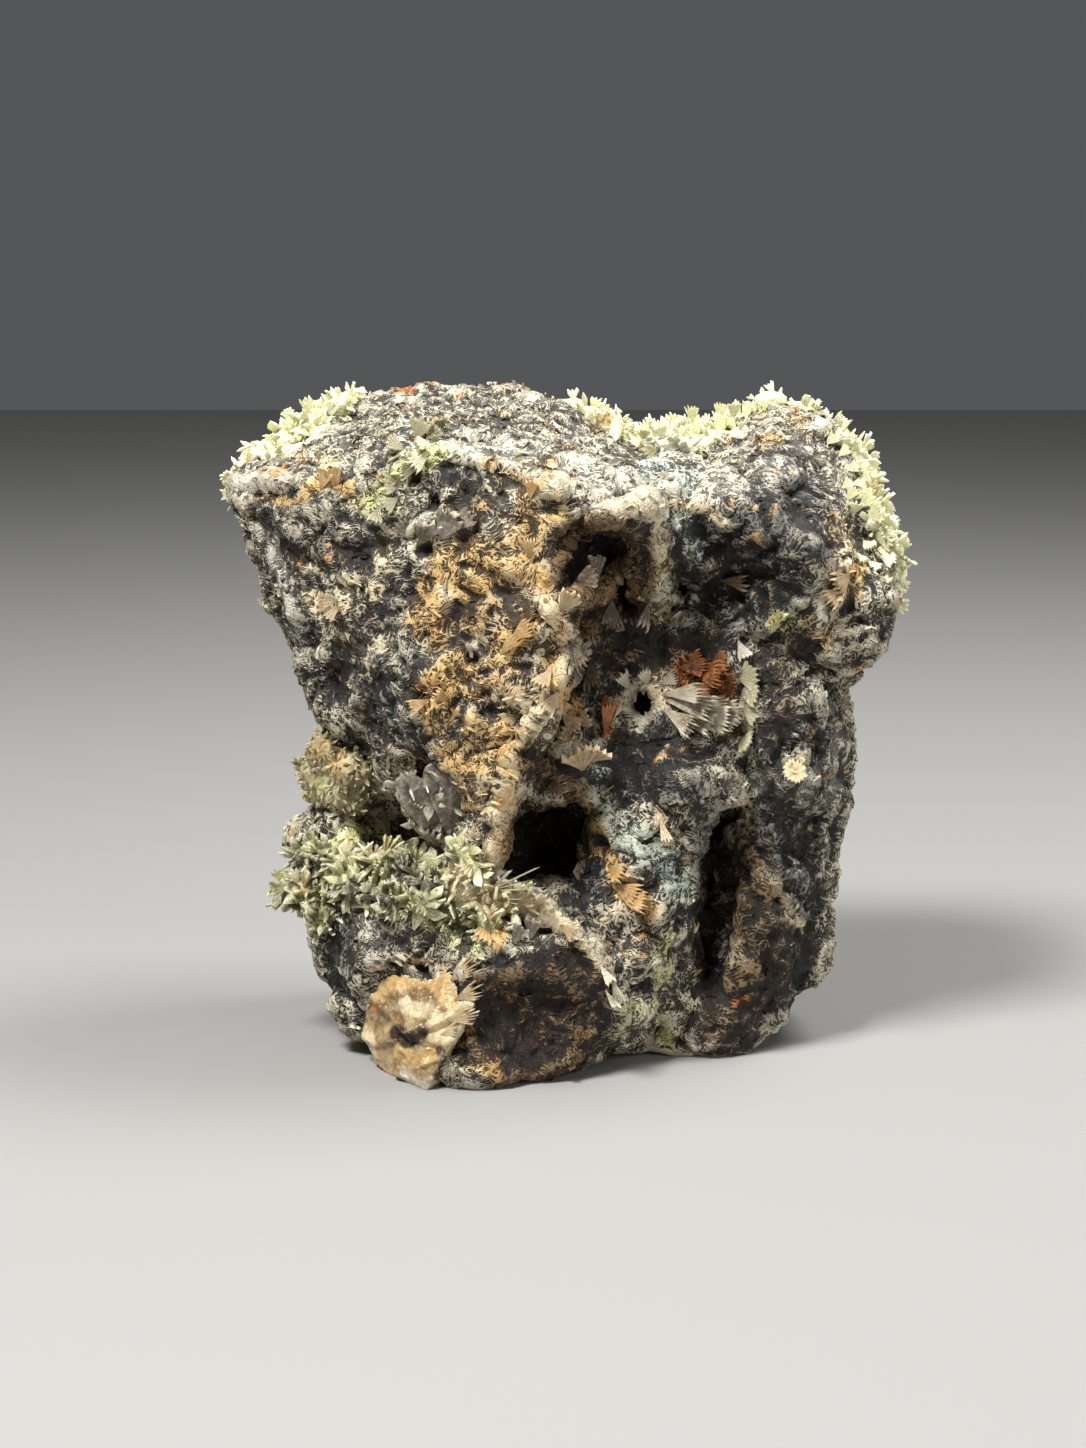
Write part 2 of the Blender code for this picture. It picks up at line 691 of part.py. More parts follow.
def make_star(grown, parts, cutters):
    """The small star of blades on the right column."""
    tree = BVHTree.FromPolygons(
        [v.co for v in grown.data.vertices], [p.vertices for p in grown.data.polygons]
    )
    x, z = STAR_PLACE
    point, normal, _, _ = tree.ray_cast(Vector((x, IN_FRONT, z)) * MM, Vector((0, 1, 0)))
    bm = bmesh.new()
    add_ball(bm, point / MM, [STAR_RADIUS] * 3, (0, 0, 0), 1)
    core = mesh_from(bm, "star_core")
    bm = bmesh.new()
    size = (STAR_BLADE_LENGTH, STAR_RADIUS, STAR_RADIUS / 2)
    add_cluster(bm, point, normal, STAR_RADIUS, size, STAR_BLADES)
    blades = make_cutter("star_blades", mesh_from(bm, "star_blades"), cutters)
    star = make_piece("rosette", core, [grown], parts, blades)
    finish(star, "cream rosette", (0.8, 0.72, 0.5), 0.4)


def make_honey(clear_of, parts):
    """The large honey crystal at the front left foot."""
    bm = bmesh.new()
    add_block(bm, HONEY_CORNERS)
    honey = make_piece("honey_crystal", mesh_from(bm, "honey_crystal"), clear_of, parts)
    finish(honey, "honey selenite", (0.72, 0.5, 0.26), 0.35)


def make_cream(clear_of, parts):
    """The cream crystals, grown together, at the left edge."""
    bm = bmesh.new()
    for centre, half_sizes, turn in CREAM_CRYSTALS:
        add_ball(bm, centre, half_sizes, turn, 1)
    for vert in bm.verts:
        vert.co += any_direction() * CREAM_UNEVENNESS * MM
    cream = make_piece("cream_crystals", mesh_from(bm, "cream_crystals"), clear_of, parts)
    finish(cream, "cream selenite", (0.78, 0.68, 0.45), 0.4)


def make_clear(clear_of, parts):
    """The clear grey blades that stand in the recess."""
    bm = bmesh.new()
    for foot, direction, length, width, thickness in CLEAR_BLADES:
        size = (length, width, thickness)
        add_blade(bm, Vector(foot) * MM, Vector(direction), Vector(CLEAR_ACROSS), size)
    clear = make_piece("clear_blades", mesh_from(bm, "clear_blades"), clear_of, parts)
    finish(clear, "clear selenite", (0.62, 0.58, 0.55), 0.25)


def centre_on_base(parts):
    """Moves all pieces sideways, so the origin is in the middle of the base."""
    points = [v.co for obj in parts.objects for v in obj.data.vertices]
    low, high = (Vector(pick(p[i] for p in points) for i in range(2)) for pick in (min, max))
    shift = -(low + high) / 2
    for obj in parts.objects:
        obj.data.transform(Matrix.Translation(shift.to_3d()))


def main():
    """Builds the specimen."""
    clear_scene()
    random.seed(SEED)
    parts = new_collection("selenite_specimen")
    cutters = new_collection("cutters")
    floor = floor_cutter(cutters)
    rock = make_matrix(parts, cutters, floor)
    grown = grown_copy(rock, GAP, cutters)
    make_crust(rock, grown, parts, cutters)
    vein = grown_copy(make_vein(rock, grown, parts, cutters), BLADE_GAP, cutters)
    make_pocket(rock, grown, parts, cutters)
    make_star(grown, parts, cutters)
    make_honey([grown, floor], parts)
    make_cream([grown, vein], parts)
    make_clear([grown, vein], parts)
    centre_on_base(parts)


main()
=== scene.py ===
"""Dresses the selenite specimen: the broken rock, its crystal crusts and its single crystals.

Lengths are in metres and MM turns millimetres into metres. Places on the front are given in
the pixels of the 1086 by 1448 photograph, and View turns them into places on the specimen.
"""
import itertools
import logging
import math
from dataclasses import dataclass, field
from enum import Enum
from typing import Any, Sequence

import bmesh
import bpy
import numpy as np
from mathutils import Matrix, Vector
from mathutils.bvhtree import BVHTree


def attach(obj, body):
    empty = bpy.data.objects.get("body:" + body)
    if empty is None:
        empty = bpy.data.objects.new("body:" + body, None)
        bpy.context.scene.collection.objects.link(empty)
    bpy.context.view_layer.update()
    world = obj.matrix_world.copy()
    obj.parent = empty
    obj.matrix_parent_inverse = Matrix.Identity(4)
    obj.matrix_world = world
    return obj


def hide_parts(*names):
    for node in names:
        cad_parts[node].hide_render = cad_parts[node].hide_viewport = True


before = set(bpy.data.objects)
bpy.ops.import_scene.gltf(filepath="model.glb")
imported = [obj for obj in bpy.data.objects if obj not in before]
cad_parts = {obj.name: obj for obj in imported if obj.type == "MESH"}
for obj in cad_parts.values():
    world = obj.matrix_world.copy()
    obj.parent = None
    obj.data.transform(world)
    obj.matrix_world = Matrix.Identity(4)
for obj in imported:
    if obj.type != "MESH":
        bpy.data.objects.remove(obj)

MM = 0.001
LOG = logging.getLogger("specimen")
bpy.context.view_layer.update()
Pixel = tuple[float, float]
Line = tuple[Pixel, ...]
Colour = tuple[float, float, float]


@dataclass(frozen=True)
class View:
    """The photograph's camera, level with the specimen and a little above it."""

    width: int = 1086
    height: int = 1448
    lens: float = 70.0
    sensor_height: float = 36.0
    elevation: float = math.radians(10.0)
    distance: float = 430.0 * MM
    target: tuple[float, float, float] = (-3.6 * MM, 0.0, 47.6 * MM)

    @property
    def back(self) -> Vector:
        """Direction from the target to the camera."""
        return Vector((0.0, -math.cos(self.elevation), math.sin(self.elevation)))

    @property
    def up(self) -> Vector:
        """Direction that is up in the picture."""
        return Vector((0.0, math.sin(self.elevation), math.cos(self.elevation)))

    @property
    def eye(self) -> Vector:
        """Place of the camera."""
        return Vector(self.target) + self.back * self.distance

    @property
    def focal_pixels(self) -> float:
        """Focal length in pixels of the photograph."""
        return self.lens / self.sensor_height * self.height

    def pixels(self, points: np.ndarray) -> np.ndarray:
        """Turns places into pixels of the photograph.

        Args:
            points: Places, one a row.

        Returns:
            Pixel coordinates, one pair a row.
        """
        offset = points - np.array(self.eye)
        depth = -offset @ np.array(self.back)
        across = self.width / 2 + self.focal_pixels * offset[:, 0] / depth
        down = self.height / 2 - self.focal_pixels * (offset @ np.array(self.up)) / depth
        return np.stack([across, down], axis=1)

    def ray(self, pixel: Pixel) -> Vector:
        """Direction from the camera through a pixel of the photograph."""
        across = (pixel[0] - self.width / 2) / self.focal_pixels
        down = (pixel[1] - self.height / 2) / self.focal_pixels
        return (-self.back + Vector((across, 0.0, 0.0)) - self.up * down).normalized()

    def hit(self, trees: Sequence[BVHTree], pixel: Pixel) -> tuple[Vector, Vector]:
        """Finds what shows at a pixel.

        Args:
            trees: The surfaces that are looked at, the rock's first.
            pixel: Where in the photograph.

        Returns:
            The nearest place seen there and its normal, or the rock's place next to that line.
        """
        seen = [tree.ray_cast(self.eye, self.ray(pixel)) for tree in trees]
        seen = [found for found in seen if found[0] is not None]
        if seen:
            return min(seen, key=lambda found: found[3])[:2]
        return trees[0].find_nearest(self.eye + self.ray(pixel) * self.distance)[:2]

    def place_camera(self) -> None:
        """Adds the camera and makes it the scene's own."""
        data = bpy.data.cameras.new("camera")
        data.lens = self.lens
        data.sensor_fit = "VERTICAL"
        data.sensor_height = self.sensor_height
        data.clip_start = 0.01
        camera = bpy.data.objects.new("camera", data)
        camera.location = self.eye
        camera.rotation_euler = (-self.back).to_track_quat("-Z", "Y").to_euler()
        bpy.context.scene.collection.objects.link(camera)
        bpy.context.scene.camera = camera


VIEW = View()


class LatticeNoise:
    """Smooth gradient noise, worked out for many points at once."""

    def __init__(self, seed: int) -> None:
        """Fills the tables from a seed."""
        source = np.random.default_rng(seed)
        self.order = np.tile(source.permutation(256), 2)
        slopes = source.normal(size=(256, 3))
        self.slopes = slopes / np.linalg.norm(slopes, axis=1, keepdims=True)
        self.spots = source.random((256, 3))
        self.turn = np.linalg.qr(source.normal(size=(3, 3)))[0]

    def _slot(self, cell: np.ndarray) -> np.ndarray:
        """Index into the tables for lattice cells."""
        wrapped = cell & 255
        first = self.order[wrapped[:, 0]]
        second = self.order[(first + wrapped[:, 1]) & 255]
        return self.order[(second + wrapped[:, 2]) & 255]

    def at(self, points: np.ndarray) -> np.ndarray:
        """Noise from about -1 to 1.

        Args:
            points: Points in units of the noise's cells, one a row.

        Returns:
            One value a point.
        """
        points = points @ self.turn
        cell = np.floor(points).astype(np.int64)
        inside = points - cell
        fade = inside**3 * (inside * (inside * 6 - 15) + 10)
        total = np.zeros(len(points))
        for corner in itertools.product((0, 1), repeat=3):
            step = np.array(corner)
            slope = self.slopes[self._slot(cell + step)]
            weight = np.prod(np.where(step == 1, fade, 1 - fade), axis=1)
            total += weight * np.sum(slope * (inside - step), axis=1)
        return 1.6 * total

    def fractal(self, points: np.ndarray, octaves: int, ridged: bool = False) -> np.ndarray:
        """Adds up ever finer noise.

        Args:
            points: Points in units of the coarsest cells.
            octaves: How many layers, each twice as fine and half as strong.
            ridged: Whether each layer has sharp crests instead of round ones.

        Returns:
            One value a point, from about -1 to 1.
        """
        total = np.zeros(len(points))
        for octave in range(octaves):
            layer = self.at(points * 2.03**octave + 17.0 * octave)
            total += (1.0 - 2.0 * np.abs(layer) if ridged else layer) * 0.5**octave
        return total / (2.0 - 0.5 ** (octaves - 1))

    def warp(self, points: np.ndarray, cell: float, reach: float) -> np.ndarray:
        """Shifts points by noise.

        Args:
            points: Places in metres.
            cell: Size of the noise's cells in metres.
            reach: How far the points move, in metres.

        Returns:
            The shifted places.
        """
        shifts = [self.at(points / cell + 31.0 * axis) for axis in range(3)]
        return points + reach * np.stack(shifts, axis=1)

    def pits(self, points: np.ndarray) -> np.ndarray:
        """Distance to the nearest of one random spot in each cell, in cells."""
        points = points @ self.turn
        cell = np.floor(points).astype(np.int64)
        nearest = np.full(len(points), 9.0)
        for corner in itertools.product((-1, 0, 1), repeat=3):
            other = cell + np.array(corner)
            spot = other + self.spots[self._slot(other)]
            nearest = np.minimum(nearest, np.linalg.norm(points - spot, axis=1))
        return nearest


def smooth_step(values: np.ndarray, low: float, high: float) -> np.ndarray:
    """Rises smoothly from 0 at the low value to 1 at the high one."""
    share = np.clip((values - low) / (high - low), 0.0, 1.0)
    return share * share * (3.0 - 2.0 * share)


def line_distance(points: np.ndarray, line: Sequence[Pixel]) -> np.ndarray:
    """Distance from points to a line of straight stretches.

    Args:
        points: Pixel coordinates, one pair a row.
        line: The line's corners.

    Returns:
        One distance a point, in pixels.
    """
    nearest = np.full(len(points), 1e9)
    for start, end in zip(line, line[1:]):
        origin = np.array(start)
        along = np.array(end) - origin
        share = np.clip((points - origin) @ along / (along @ along), 0.0, 1.0)
        gap = np.linalg.norm(points - origin - share[:, None] * along, axis=1)
        nearest = np.minimum(nearest, gap)
    return nearest


@dataclass(frozen=True)
class Stroke:
    """A ridge or, with a height below zero, a groove drawn on the front."""

    line: Line
    half_width: float
    height: float


@dataclass(frozen=True)
class Dent:
    """A hollow pressed into the front, round or oval."""

    centre: Pixel
    reach: Pixel
    depth: float

    def weight(self, pixels: np.ndarray) -> np.ndarray:
        """How deep the hollow is at each pixel, from 0 to 1."""
        offset = (pixels - np.array(self.centre)) / np.array(self.reach)
        return 1.0 - smooth_step(np.linalg.norm(offset, axis=1), 0.35, 1.25)


class Tint(Enum):
    """Colour zones of the specimen."""

    PALE = "pale"
    DARK = "dark"
    TEAL = "teal"
    GREEN = "green"
    CREAM = "cream"
    OCHRE = "ochre"
    BROWN = "brown"
    RUST = "rust"


@dataclass(frozen=True)
class Zone:
    """A tinted stretch of the front, round a point or along a line."""

    tint: Tint
    reach: float
    strength: float
    line: Line

    def cover(self, pixels: np.ndarray) -> np.ndarray:
        """How strongly the zone tints each pixel, from 0 to its strength."""
        core, edge = 0.3 * self.reach, 1.3 * self.reach
        if len(self.line) == 1:
            gap = np.linalg.norm(pixels - np.array(self.line[0]), axis=1)
        else:
            gap = line_distance(pixels, self.line)
        return self.strength * (1.0 - smooth_step(gap, core, edge))


def strokes(*rows: tuple[float, float, Line]) -> tuple[Stroke, ...]:
    """Ridges and grooves from rows of half width in pixels, height in millimetres and line."""
    return tuple(Stroke(line, half_width, height * MM) for half_width, height, line in rows)


def dents(*rows: tuple[Pixel, Pixel, float]) -> tuple[Dent, ...]:
    """Hollows from rows of centre and reach in pixels and depth in millimetres."""
    return tuple(Dent(centre, reach, depth * MM) for centre, reach, depth in rows)


def zones(table: dict[Tint, tuple[tuple[float, float, Line], ...]]) -> tuple[Zone, ...]:
    """Zones from rows of reach, strength and line, by their tint."""
    return tuple(Zone(tint, *row) for tint, rows in table.items() for row in rows)


class Surface:
    """A mesh whose points are moved and tinted as arrays."""

    facing_span = (-0.1, 0.35)
    hollow_wall_span = (-0.9, -0.2)
    front_span = (-4.0 * MM, 4.0 * MM)

    def __init__(self, mesh: bpy.types.Mesh) -> None:
        """Reads the points, edges and normals of a mesh."""
        self.mesh = mesh
        self.points = self._read(mesh.vertices, "co", 3)
        edges = np.empty(len(mesh.edges) * 2, dtype=np.int32)
        mesh.edges.foreach_get("vertices", edges)
        self.edges = edges.reshape(-1, 2)
        self.degree = np.bincount(self.edges.ravel(), minlength=len(self.points)).clip(1)
        self.refresh()

    @staticmethod
    def _read(source: Any, name: str, width: int) -> np.ndarray:
        """Reads one property of many items as an array."""
        values = np.empty(len(source) * width, dtype=np.float32)
        source.foreach_get(name, values)
        return values.reshape(-1, width).astype(np.float64)

    def refresh(self) -> None:
        """Writes the points to the mesh and reads the normals and pixels again."""
        self.mesh.vertices.foreach_set("co", self.points.astype(np.float32).ravel())
        self.mesh.update()
        self.normals = self._read(self.mesh.vertex_normals, "vector", 3)
        self.pixels = VIEW.pixels(self.points)
        towards = self.normals @ np.array(VIEW.back)
        self.facing = smooth_step(towards, *self.facing_span)
        front = 1.0 - smooth_step(self.points[:, 1], *self.front_span)
        walls = front * smooth_step(towards, *self.hollow_wall_span)
        self.seen = np.maximum(self.facing, walls)

    def smoothed(self, values: np.ndarray, steps: int) -> np.ndarray:
        """Averages values with those of the neighbours.

        Args:
            values: One row a point.
            steps: How many times the average is taken.

        Returns:
            The averaged values.
        """
        start, end = self.edges.T
        for _ in range(steps):
            total = np.zeros_like(values)
            for axis in range(values.shape[1]):
                column = values[:, axis]
                total[:, axis] = np.bincount(start, column[end], len(values))
                total[:, axis] += np.bincount(end, column[start], len(values))
            values = 0.5 * values + 0.5 * total / self.degree[:, None]
        return values

    def push(self, heights: np.ndarray) -> None:
        """Moves each point along its normal by a height in metres."""
        self.points += self.normals * heights[:, None]
        self.refresh()

    def bulge(self, steps: int, scale: float) -> np.ndarray:
        """How far each point stands out from its surroundings.

        Args:
            steps: How wide the surroundings are.
            scale: The height that counts as 1, in metres.

        Returns:
            Values from -1 in hollows to 1 on ridges.
        """
        offset = self.points - self.smoothed(self.points, steps)
        return np.clip(np.sum(offset * self.normals, axis=1) / scale, -1.0, 1.0)

    def store(self, name: str, values: np.ndarray) -> None:
        """Keeps one number a point on the mesh for its material."""
        attribute = self.mesh.attributes.new(name, "FLOAT", "POINT")
        attribute.data.foreach_set("value", values.astype(np.float32))

    def store_zones(self, zones: Sequence[Zone]) -> dict[Tint, np.ndarray]:
        """Works out how strongly each tint covers each point, for the front only.

        Args:
            zones: The tinted zones.

        Returns:
            The cover of each tint, one value a point.
        """
        covers = {tint: np.zeros(len(self.points)) for tint in Tint}
        for zone in zones:
            cover = zone.cover(self.pixels) * self.seen
            covers[zone.tint] = np.maximum(covers[zone.tint], cover)
        return covers

    def tree(self) -> BVHTree:
        """The surface, ready to be met by rays."""
        return BVHTree.FromPolygons(
            [tuple(point) for point in self.points],
            [polygon.vertices[:] for polygon in self.mesh.polygons],
        )


def remeshed_node(node: str, name: str, voxel: float) -> bpy.types.Object:
    """Makes an even fine mesh in the shape of a solid.

    Args:
        node: Name of the solid.
        name: Name of the new object.
        voxel: Size of the new faces, in metres.

    Returns:
        A new object, linked to the scene.
    """
    bm = bmesh.new()
    bm.from_mesh(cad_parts[node].data)
    bmesh.ops.remove_doubles(bm, verts=bm.verts, dist=0.001 * MM)
    mesh = bpy.data.meshes.new(name)
    bm.to_mesh(mesh)
    bm.free()
    mesh.materials.clear()
    obj = bpy.data.objects.new(name, mesh)
    bpy.context.scene.collection.objects.link(obj)
    remesh = obj.modifiers.new("even", "REMESH")
    remesh.mode = "VOXEL"
    remesh.voxel_size = voxel
    bake_modifiers(obj)
    return obj


def bake_modifiers(obj: bpy.types.Object) -> None:
    """Replaces an object's mesh by what its modifiers make, and removes them."""
    bpy.context.view_layer.update()
    graph = bpy.context.evaluated_depsgraph_get()
    mesh = bpy.data.meshes.new_from_object(obj.evaluated_get(graph), depsgraph=graph)
    obj.modifiers.clear()
    obj.data = mesh
    mesh.name = obj.name


def triangle_count(mesh: bpy.types.Mesh) -> int:
    """How many triangles a mesh comes to."""
    mesh.calc_loop_triangles()
    return len(mesh.loop_triangles)


def report_piece(obj: bpy.types.Object) -> None:
    """Logs the name of a finished piece and its number of triangles."""
    LOG.info("%s: %d triangles", obj.name, triangle_count(obj.data))


class Graph:
    """Adds nodes to a shader or geometry tree, with their inputs given by name."""

    def __init__(self, tree: bpy.types.NodeTree) -> None:
        """Works on an empty or a filled tree."""
        self.tree = tree

    def add(self, kind: str, inputs: dict[Any, Any] | None = None, **settings: Any) -> Any:
        """Adds one node.

        Args:
            kind: The node's type.
            inputs: Values or sockets for its inputs, by name or number.
            **settings: Properties of the node.

        Returns:
            The node.
        """
        node = self.tree.nodes.new(kind)
        for name, value in settings.items():
            setattr(node, name, value)
        for key, value in (inputs or {}).items():
            self.feed(node.inputs[key], value)
        return node

    def feed(self, socket: Any, value: Any) -> None:
        """Links a socket to an input, or sets the input's own value."""
        if isinstance(value, bpy.types.NodeSocket):
            self.tree.links.new(value, socket)
        elif isinstance(value, tuple) and len(value) == 3 and socket.type == "RGBA":
            socket.default_value = (*value, 1.0)
        else:
            socket.default_value = value

    def math(self, operation: str, *values: Any, clamp: bool = False) -> Any:
        """Result of one sum on numbers or sockets."""
        inputs = dict(enumerate(values))
        return self.add("ShaderNodeMath", inputs, operation=operation, use_clamp=clamp).outputs[0]

    def noise(self, place: Any, size: float, detail: float = 3.0, **inputs: float) -> Any:
        """A noise texture.

        Args:
            place: Socket with the place.
            size: Size of its features in metres.
            detail: How many finer layers it has.
            **inputs: Other inputs by name, such as Distortion.

        Returns:
            The socket with its value, about 0.5 on average.
        """
        values = {"Vector": place, "Scale": 1.0 / size, "Detail": detail, **inputs}
        return self.add("ShaderNodeTexNoise", values).outputs[0]

    def span(
        self, value: Any, low: float, high: float, start: float = 0.0, end: float = 1.0
    ) -> Any:
        """Maps a stretch of values smoothly onto another and clamps it.

        Args:
            value: The socket to map.
            low: Value that becomes start.
            high: Value that becomes end.
            start: Result at the low value.
            end: Result at the high value.

        Returns:
            The socket with the result.
        """
        inputs = {0: value, 1: low, 2: high, 3: start, 4: end}
        return self.add("ShaderNodeMapRange", inputs, interpolation_type="SMOOTHSTEP").outputs[0]

    def mix(self, share: Any, first: Any, second: Any, blend: str = "MIX") -> Any:
        """Blends two colours.

        Args:
            share: How much of the second, as a number or socket.
            first: The first colour, as a colour or socket.
            second: The second colour.
            blend: How they are blended.

        Returns:
            The socket with the colour.
        """
        inputs = {"Factor": share, 6: first, 7: second}
        node = self.add("ShaderNodeMix", inputs, data_type="RGBA", blend_type=blend)
        return node.outputs[2]

    def bump(self, shader: Any, height: Any, strength: float, relief: float) -> None:
        """Gives a shader a fine relief.

        Args:
            shader: The Principled shader.
            height: Socket with the height, from about 0 to 1.
            strength: How strongly it shows.
            relief: The height that 1 stands for, in metres.
        """
        values = {"Height": height, "Strength": strength, "Distance": relief}
        self.feed(shader.inputs["Normal"], self.add("ShaderNodeBump", values).outputs[0])

    def attribute(self, name: str) -> Any:
        """Socket with a number kept on the mesh."""
        return self.add("ShaderNodeAttribute", attribute_name=name).outputs["Fac"]


@dataclass(frozen=True)
class TintColours:
    """The ground and the fibre colour of one zone, and how densely the fibres lie there."""

    ground: Colour
    fibre: Colour
    cover: float


TINTS: dict[Tint, TintColours] = {
    Tint.PALE: TintColours((0.190, 0.178, 0.150), (0.58, 0.545, 0.435), 0.60),
    Tint.DARK: TintColours((0.008, 0.0075, 0.007), (0.18, 0.17, 0.142), 0.24),
    Tint.TEAL: TintColours((0.060, 0.072, 0.062), (0.58, 0.64, 0.53), 0.70),
    Tint.GREEN: TintColours((0.060, 0.062, 0.020), (0.60, 0.60, 0.28), 0.62),
    Tint.CREAM: TintColours((0.110, 0.078, 0.040), (0.76, 0.63, 0.40), 0.66),
    Tint.OCHRE: TintColours((0.065, 0.038, 0.015), (0.63, 0.42, 0.17), 0.58),
    Tint.BROWN: TintColours((0.012, 0.0075, 0.004), (0.18, 0.112, 0.050), 0.27),
    Tint.RUST: TintColours((0.085, 0.018, 0.005), (0.54, 0.18, 0.045), 0.60),
}


def new_material(name: str) -> tuple[bpy.types.Material, Graph, Any]:
    """Starts a material.

    Args:
        name: The material's name.

    Returns:
        The material, its graph, and its Principled shader.
    """
    material = bpy.data.materials.new(name)
    material.use_nodes = True
    return material, Graph(material.node_tree), material.node_tree.nodes["Principled BSDF"]


def tint_shares(graph: Graph, place: Any, grain: float, contrast: float) -> dict[Tint, Any]:
    """How much of each tint shows, broken up so that no zone has a plain border.

    Args:
        graph: The material's graph.
        place: Socket with the place.
        grain: Size of the patches that a zone breaks up into, in metres.
        contrast: How far they reach out of a zone, and bare spots into it.

    Returns:
        A socket from 0 to 1 for each tint.
    """
    ragged = graph.noise(place, grain, 6.0, Roughness=0.75)
    break_up = graph.math("MULTIPLY_ADD", ragged, 2.0 * contrast, -contrast)
    against = graph.math("MULTIPLY", break_up, -1.0)
    shares = {}
    for number, tint in enumerate(TINTS):
        cover = graph.math("ADD", graph.attribute(tint.value), against if number % 2 else break_up)
        shares[tint] = graph.span(cover, 0.15, 0.9)
    return shares


@dataclass(frozen=True)
class FibrousRock:
    """Dark broken rock with dense curly pale fibres, zones of colour, and painted shade in its
    hollows.
    """

    name: str
    ground: Colour = (0.013, 0.012, 0.0105)
    ground_light: Colour = (0.052, 0.047, 0.039)
    fibre: Colour = (0.34, 0.30, 0.22)
    fibre_light: Colour = (0.69, 0.62, 0.46)
    cover: float = 0.46
    extra_cover: float = 0.0
    curl_size: float = 4.6 * MM
    curls: float = 11.0
    mottle_size: float = 3.0 * MM
    tuft_size: float = 1.7 * MM
    patch_size: float = 6.5 * MM
    tint_grain: float = 4.5 * MM
    pit_size: float = 2.1 * MM
    pitted_patch: float = 9.0 * MM
    # Colour of the small dark pits, also used for the painted shade in hollows and deep holes.
    pit_and_shade_colour: Colour = (0.011, 0.0085, 0.0065)
    roughness: float = 0.55
    relief: float = 0.34 * MM

    def wave(self, graph: Graph, place: Any, size: float, seed: float) -> Any:
        """Contour lines of warped noise.

        Args:
            graph: The material's graph.
            place: Socket with the place.
            size: Size of the curls in metres.
            seed: Shift that makes one set of lines unlike another.

        Returns:
            Socket that is 1 in the middle of a line and 0 halfway to the next.
        """
        shifted = graph.add("ShaderNodeVectorMath", {0: place, 1: (seed, seed, seed)}).outputs[0]
        level = graph.noise(shifted, size, 2.0, Distortion=1.3, Roughness=0.45)
        folded = graph.math("PINGPONG", graph.math("MULTIPLY", level, self.curls), 0.5)
        return graph.math("MULTIPLY", folded, 2.0)

    def density(self, graph: Graph, place: Any, cover: Any) -> Any:
        """How densely the fibres lie, in tufts and in larger patches.

        Args:
            graph: The material's graph.
            place: Socket with the place.
            cover: Socket with the mean density.

        Returns:
            The socket with the density.
        """
        tufts = graph.noise(place, self.tuft_size, 3.0)
        patches = graph.noise(place, self.patch_size, 5.0, Roughness=0.65)
        density = graph.math("MULTIPLY_ADD", tufts, 1.2, graph.math("SUBTRACT", cover, 0.6))
        density = graph.math("MULTIPLY_ADD", patches, 1.5, graph.math("SUBTRACT", density, 0.75))
        density = graph.math("MULTIPLY_ADD", graph.attribute("crest"), 0.35, density)
        return graph.math("MULTIPLY_ADD", graph.attribute("ridge"), 0.25, density)

    def build(self) -> bpy.types.Material:
        """Makes the material."""
        material, graph, shader = new_material(self.name)
        place = graph.add("ShaderNodeTexCoord").outputs["Object"]
        hollow = graph.attribute("hollow")
        mottle = graph.noise(place, self.mottle_size, 4.0, Roughness=0.6)
        ground = graph.mix(graph.span(mottle, 0.35, 0.70), self.ground, self.ground_light)
        fibre = graph.mix(graph.span(mottle, 0.35, 0.65), self.fibre, self.fibre_light)
        cover: Any = self.cover
        for tint, share in tint_shares(graph, place, self.tint_grain, 1.6).items():
            colours = TINTS[tint]
            ground = graph.mix(graph.math("MULTIPLY", share, 0.85), ground, colours.ground)
            fibre = graph.mix(share, fibre, colours.fibre)
            change = graph.math("SUBTRACT", colours.cover, cover)
            cover = graph.math("MULTIPLY_ADD", share, change, cover)
        coarse = self.wave(graph, place, self.curl_size, 0.0)
        fine = self.wave(graph, place, 0.7 * self.curl_size, 0.37)
        waves = graph.math("MAXIMUM", coarse, graph.math("MULTIPLY", fine, 0.9))
        density = self.density(graph, place, graph.math("ADD", cover, self.extra_cover))
        lines = graph.span(graph.math("ADD", waves, density), 1.05, 1.40)
        colour = graph.mix(lines, ground, fibre)
        pits = graph.add("ShaderNodeTexVoronoi", {"Vector": place, "Scale": 1.0 / self.pit_size})
        pitted = graph.span(graph.noise(place, self.pitted_patch, 2.0), 0.48, 0.60)
        pit = graph.math("MULTIPLY", graph.span(pits.outputs[0], 0.30, 0.12), pitted)
        # Painted shade: hollows and deep holes are darkened towards the pit colour, and so are the
        # pits themselves.
        painted_shade = graph.span(hollow, 0.05, 1.25, 0.0, 0.97)
        dark = graph.math("MAXIMUM", painted_shade, graph.math("MULTIPLY", pit, 0.9))
        graph.feed(shader.inputs["Base Color"], graph.mix(dark, colour, self.pit_and_shade_colour))
        rough = graph.span(lines, 0.0, 1.0, self.roughness + 0.2, self.roughness - 0.15)
        graph.feed(shader.inputs["Roughness"], rough)
        shader.inputs["Specular IOR Level"].default_value = 0.45
        height = graph.math("MULTIPLY_ADD", lines, 1.0, graph.math("MULTIPLY", waves, 0.4))
        height = graph.math("MULTIPLY_ADD", pit, -1.2, height)
        graph.bump(shader, height, 0.9, self.relief)
        return material


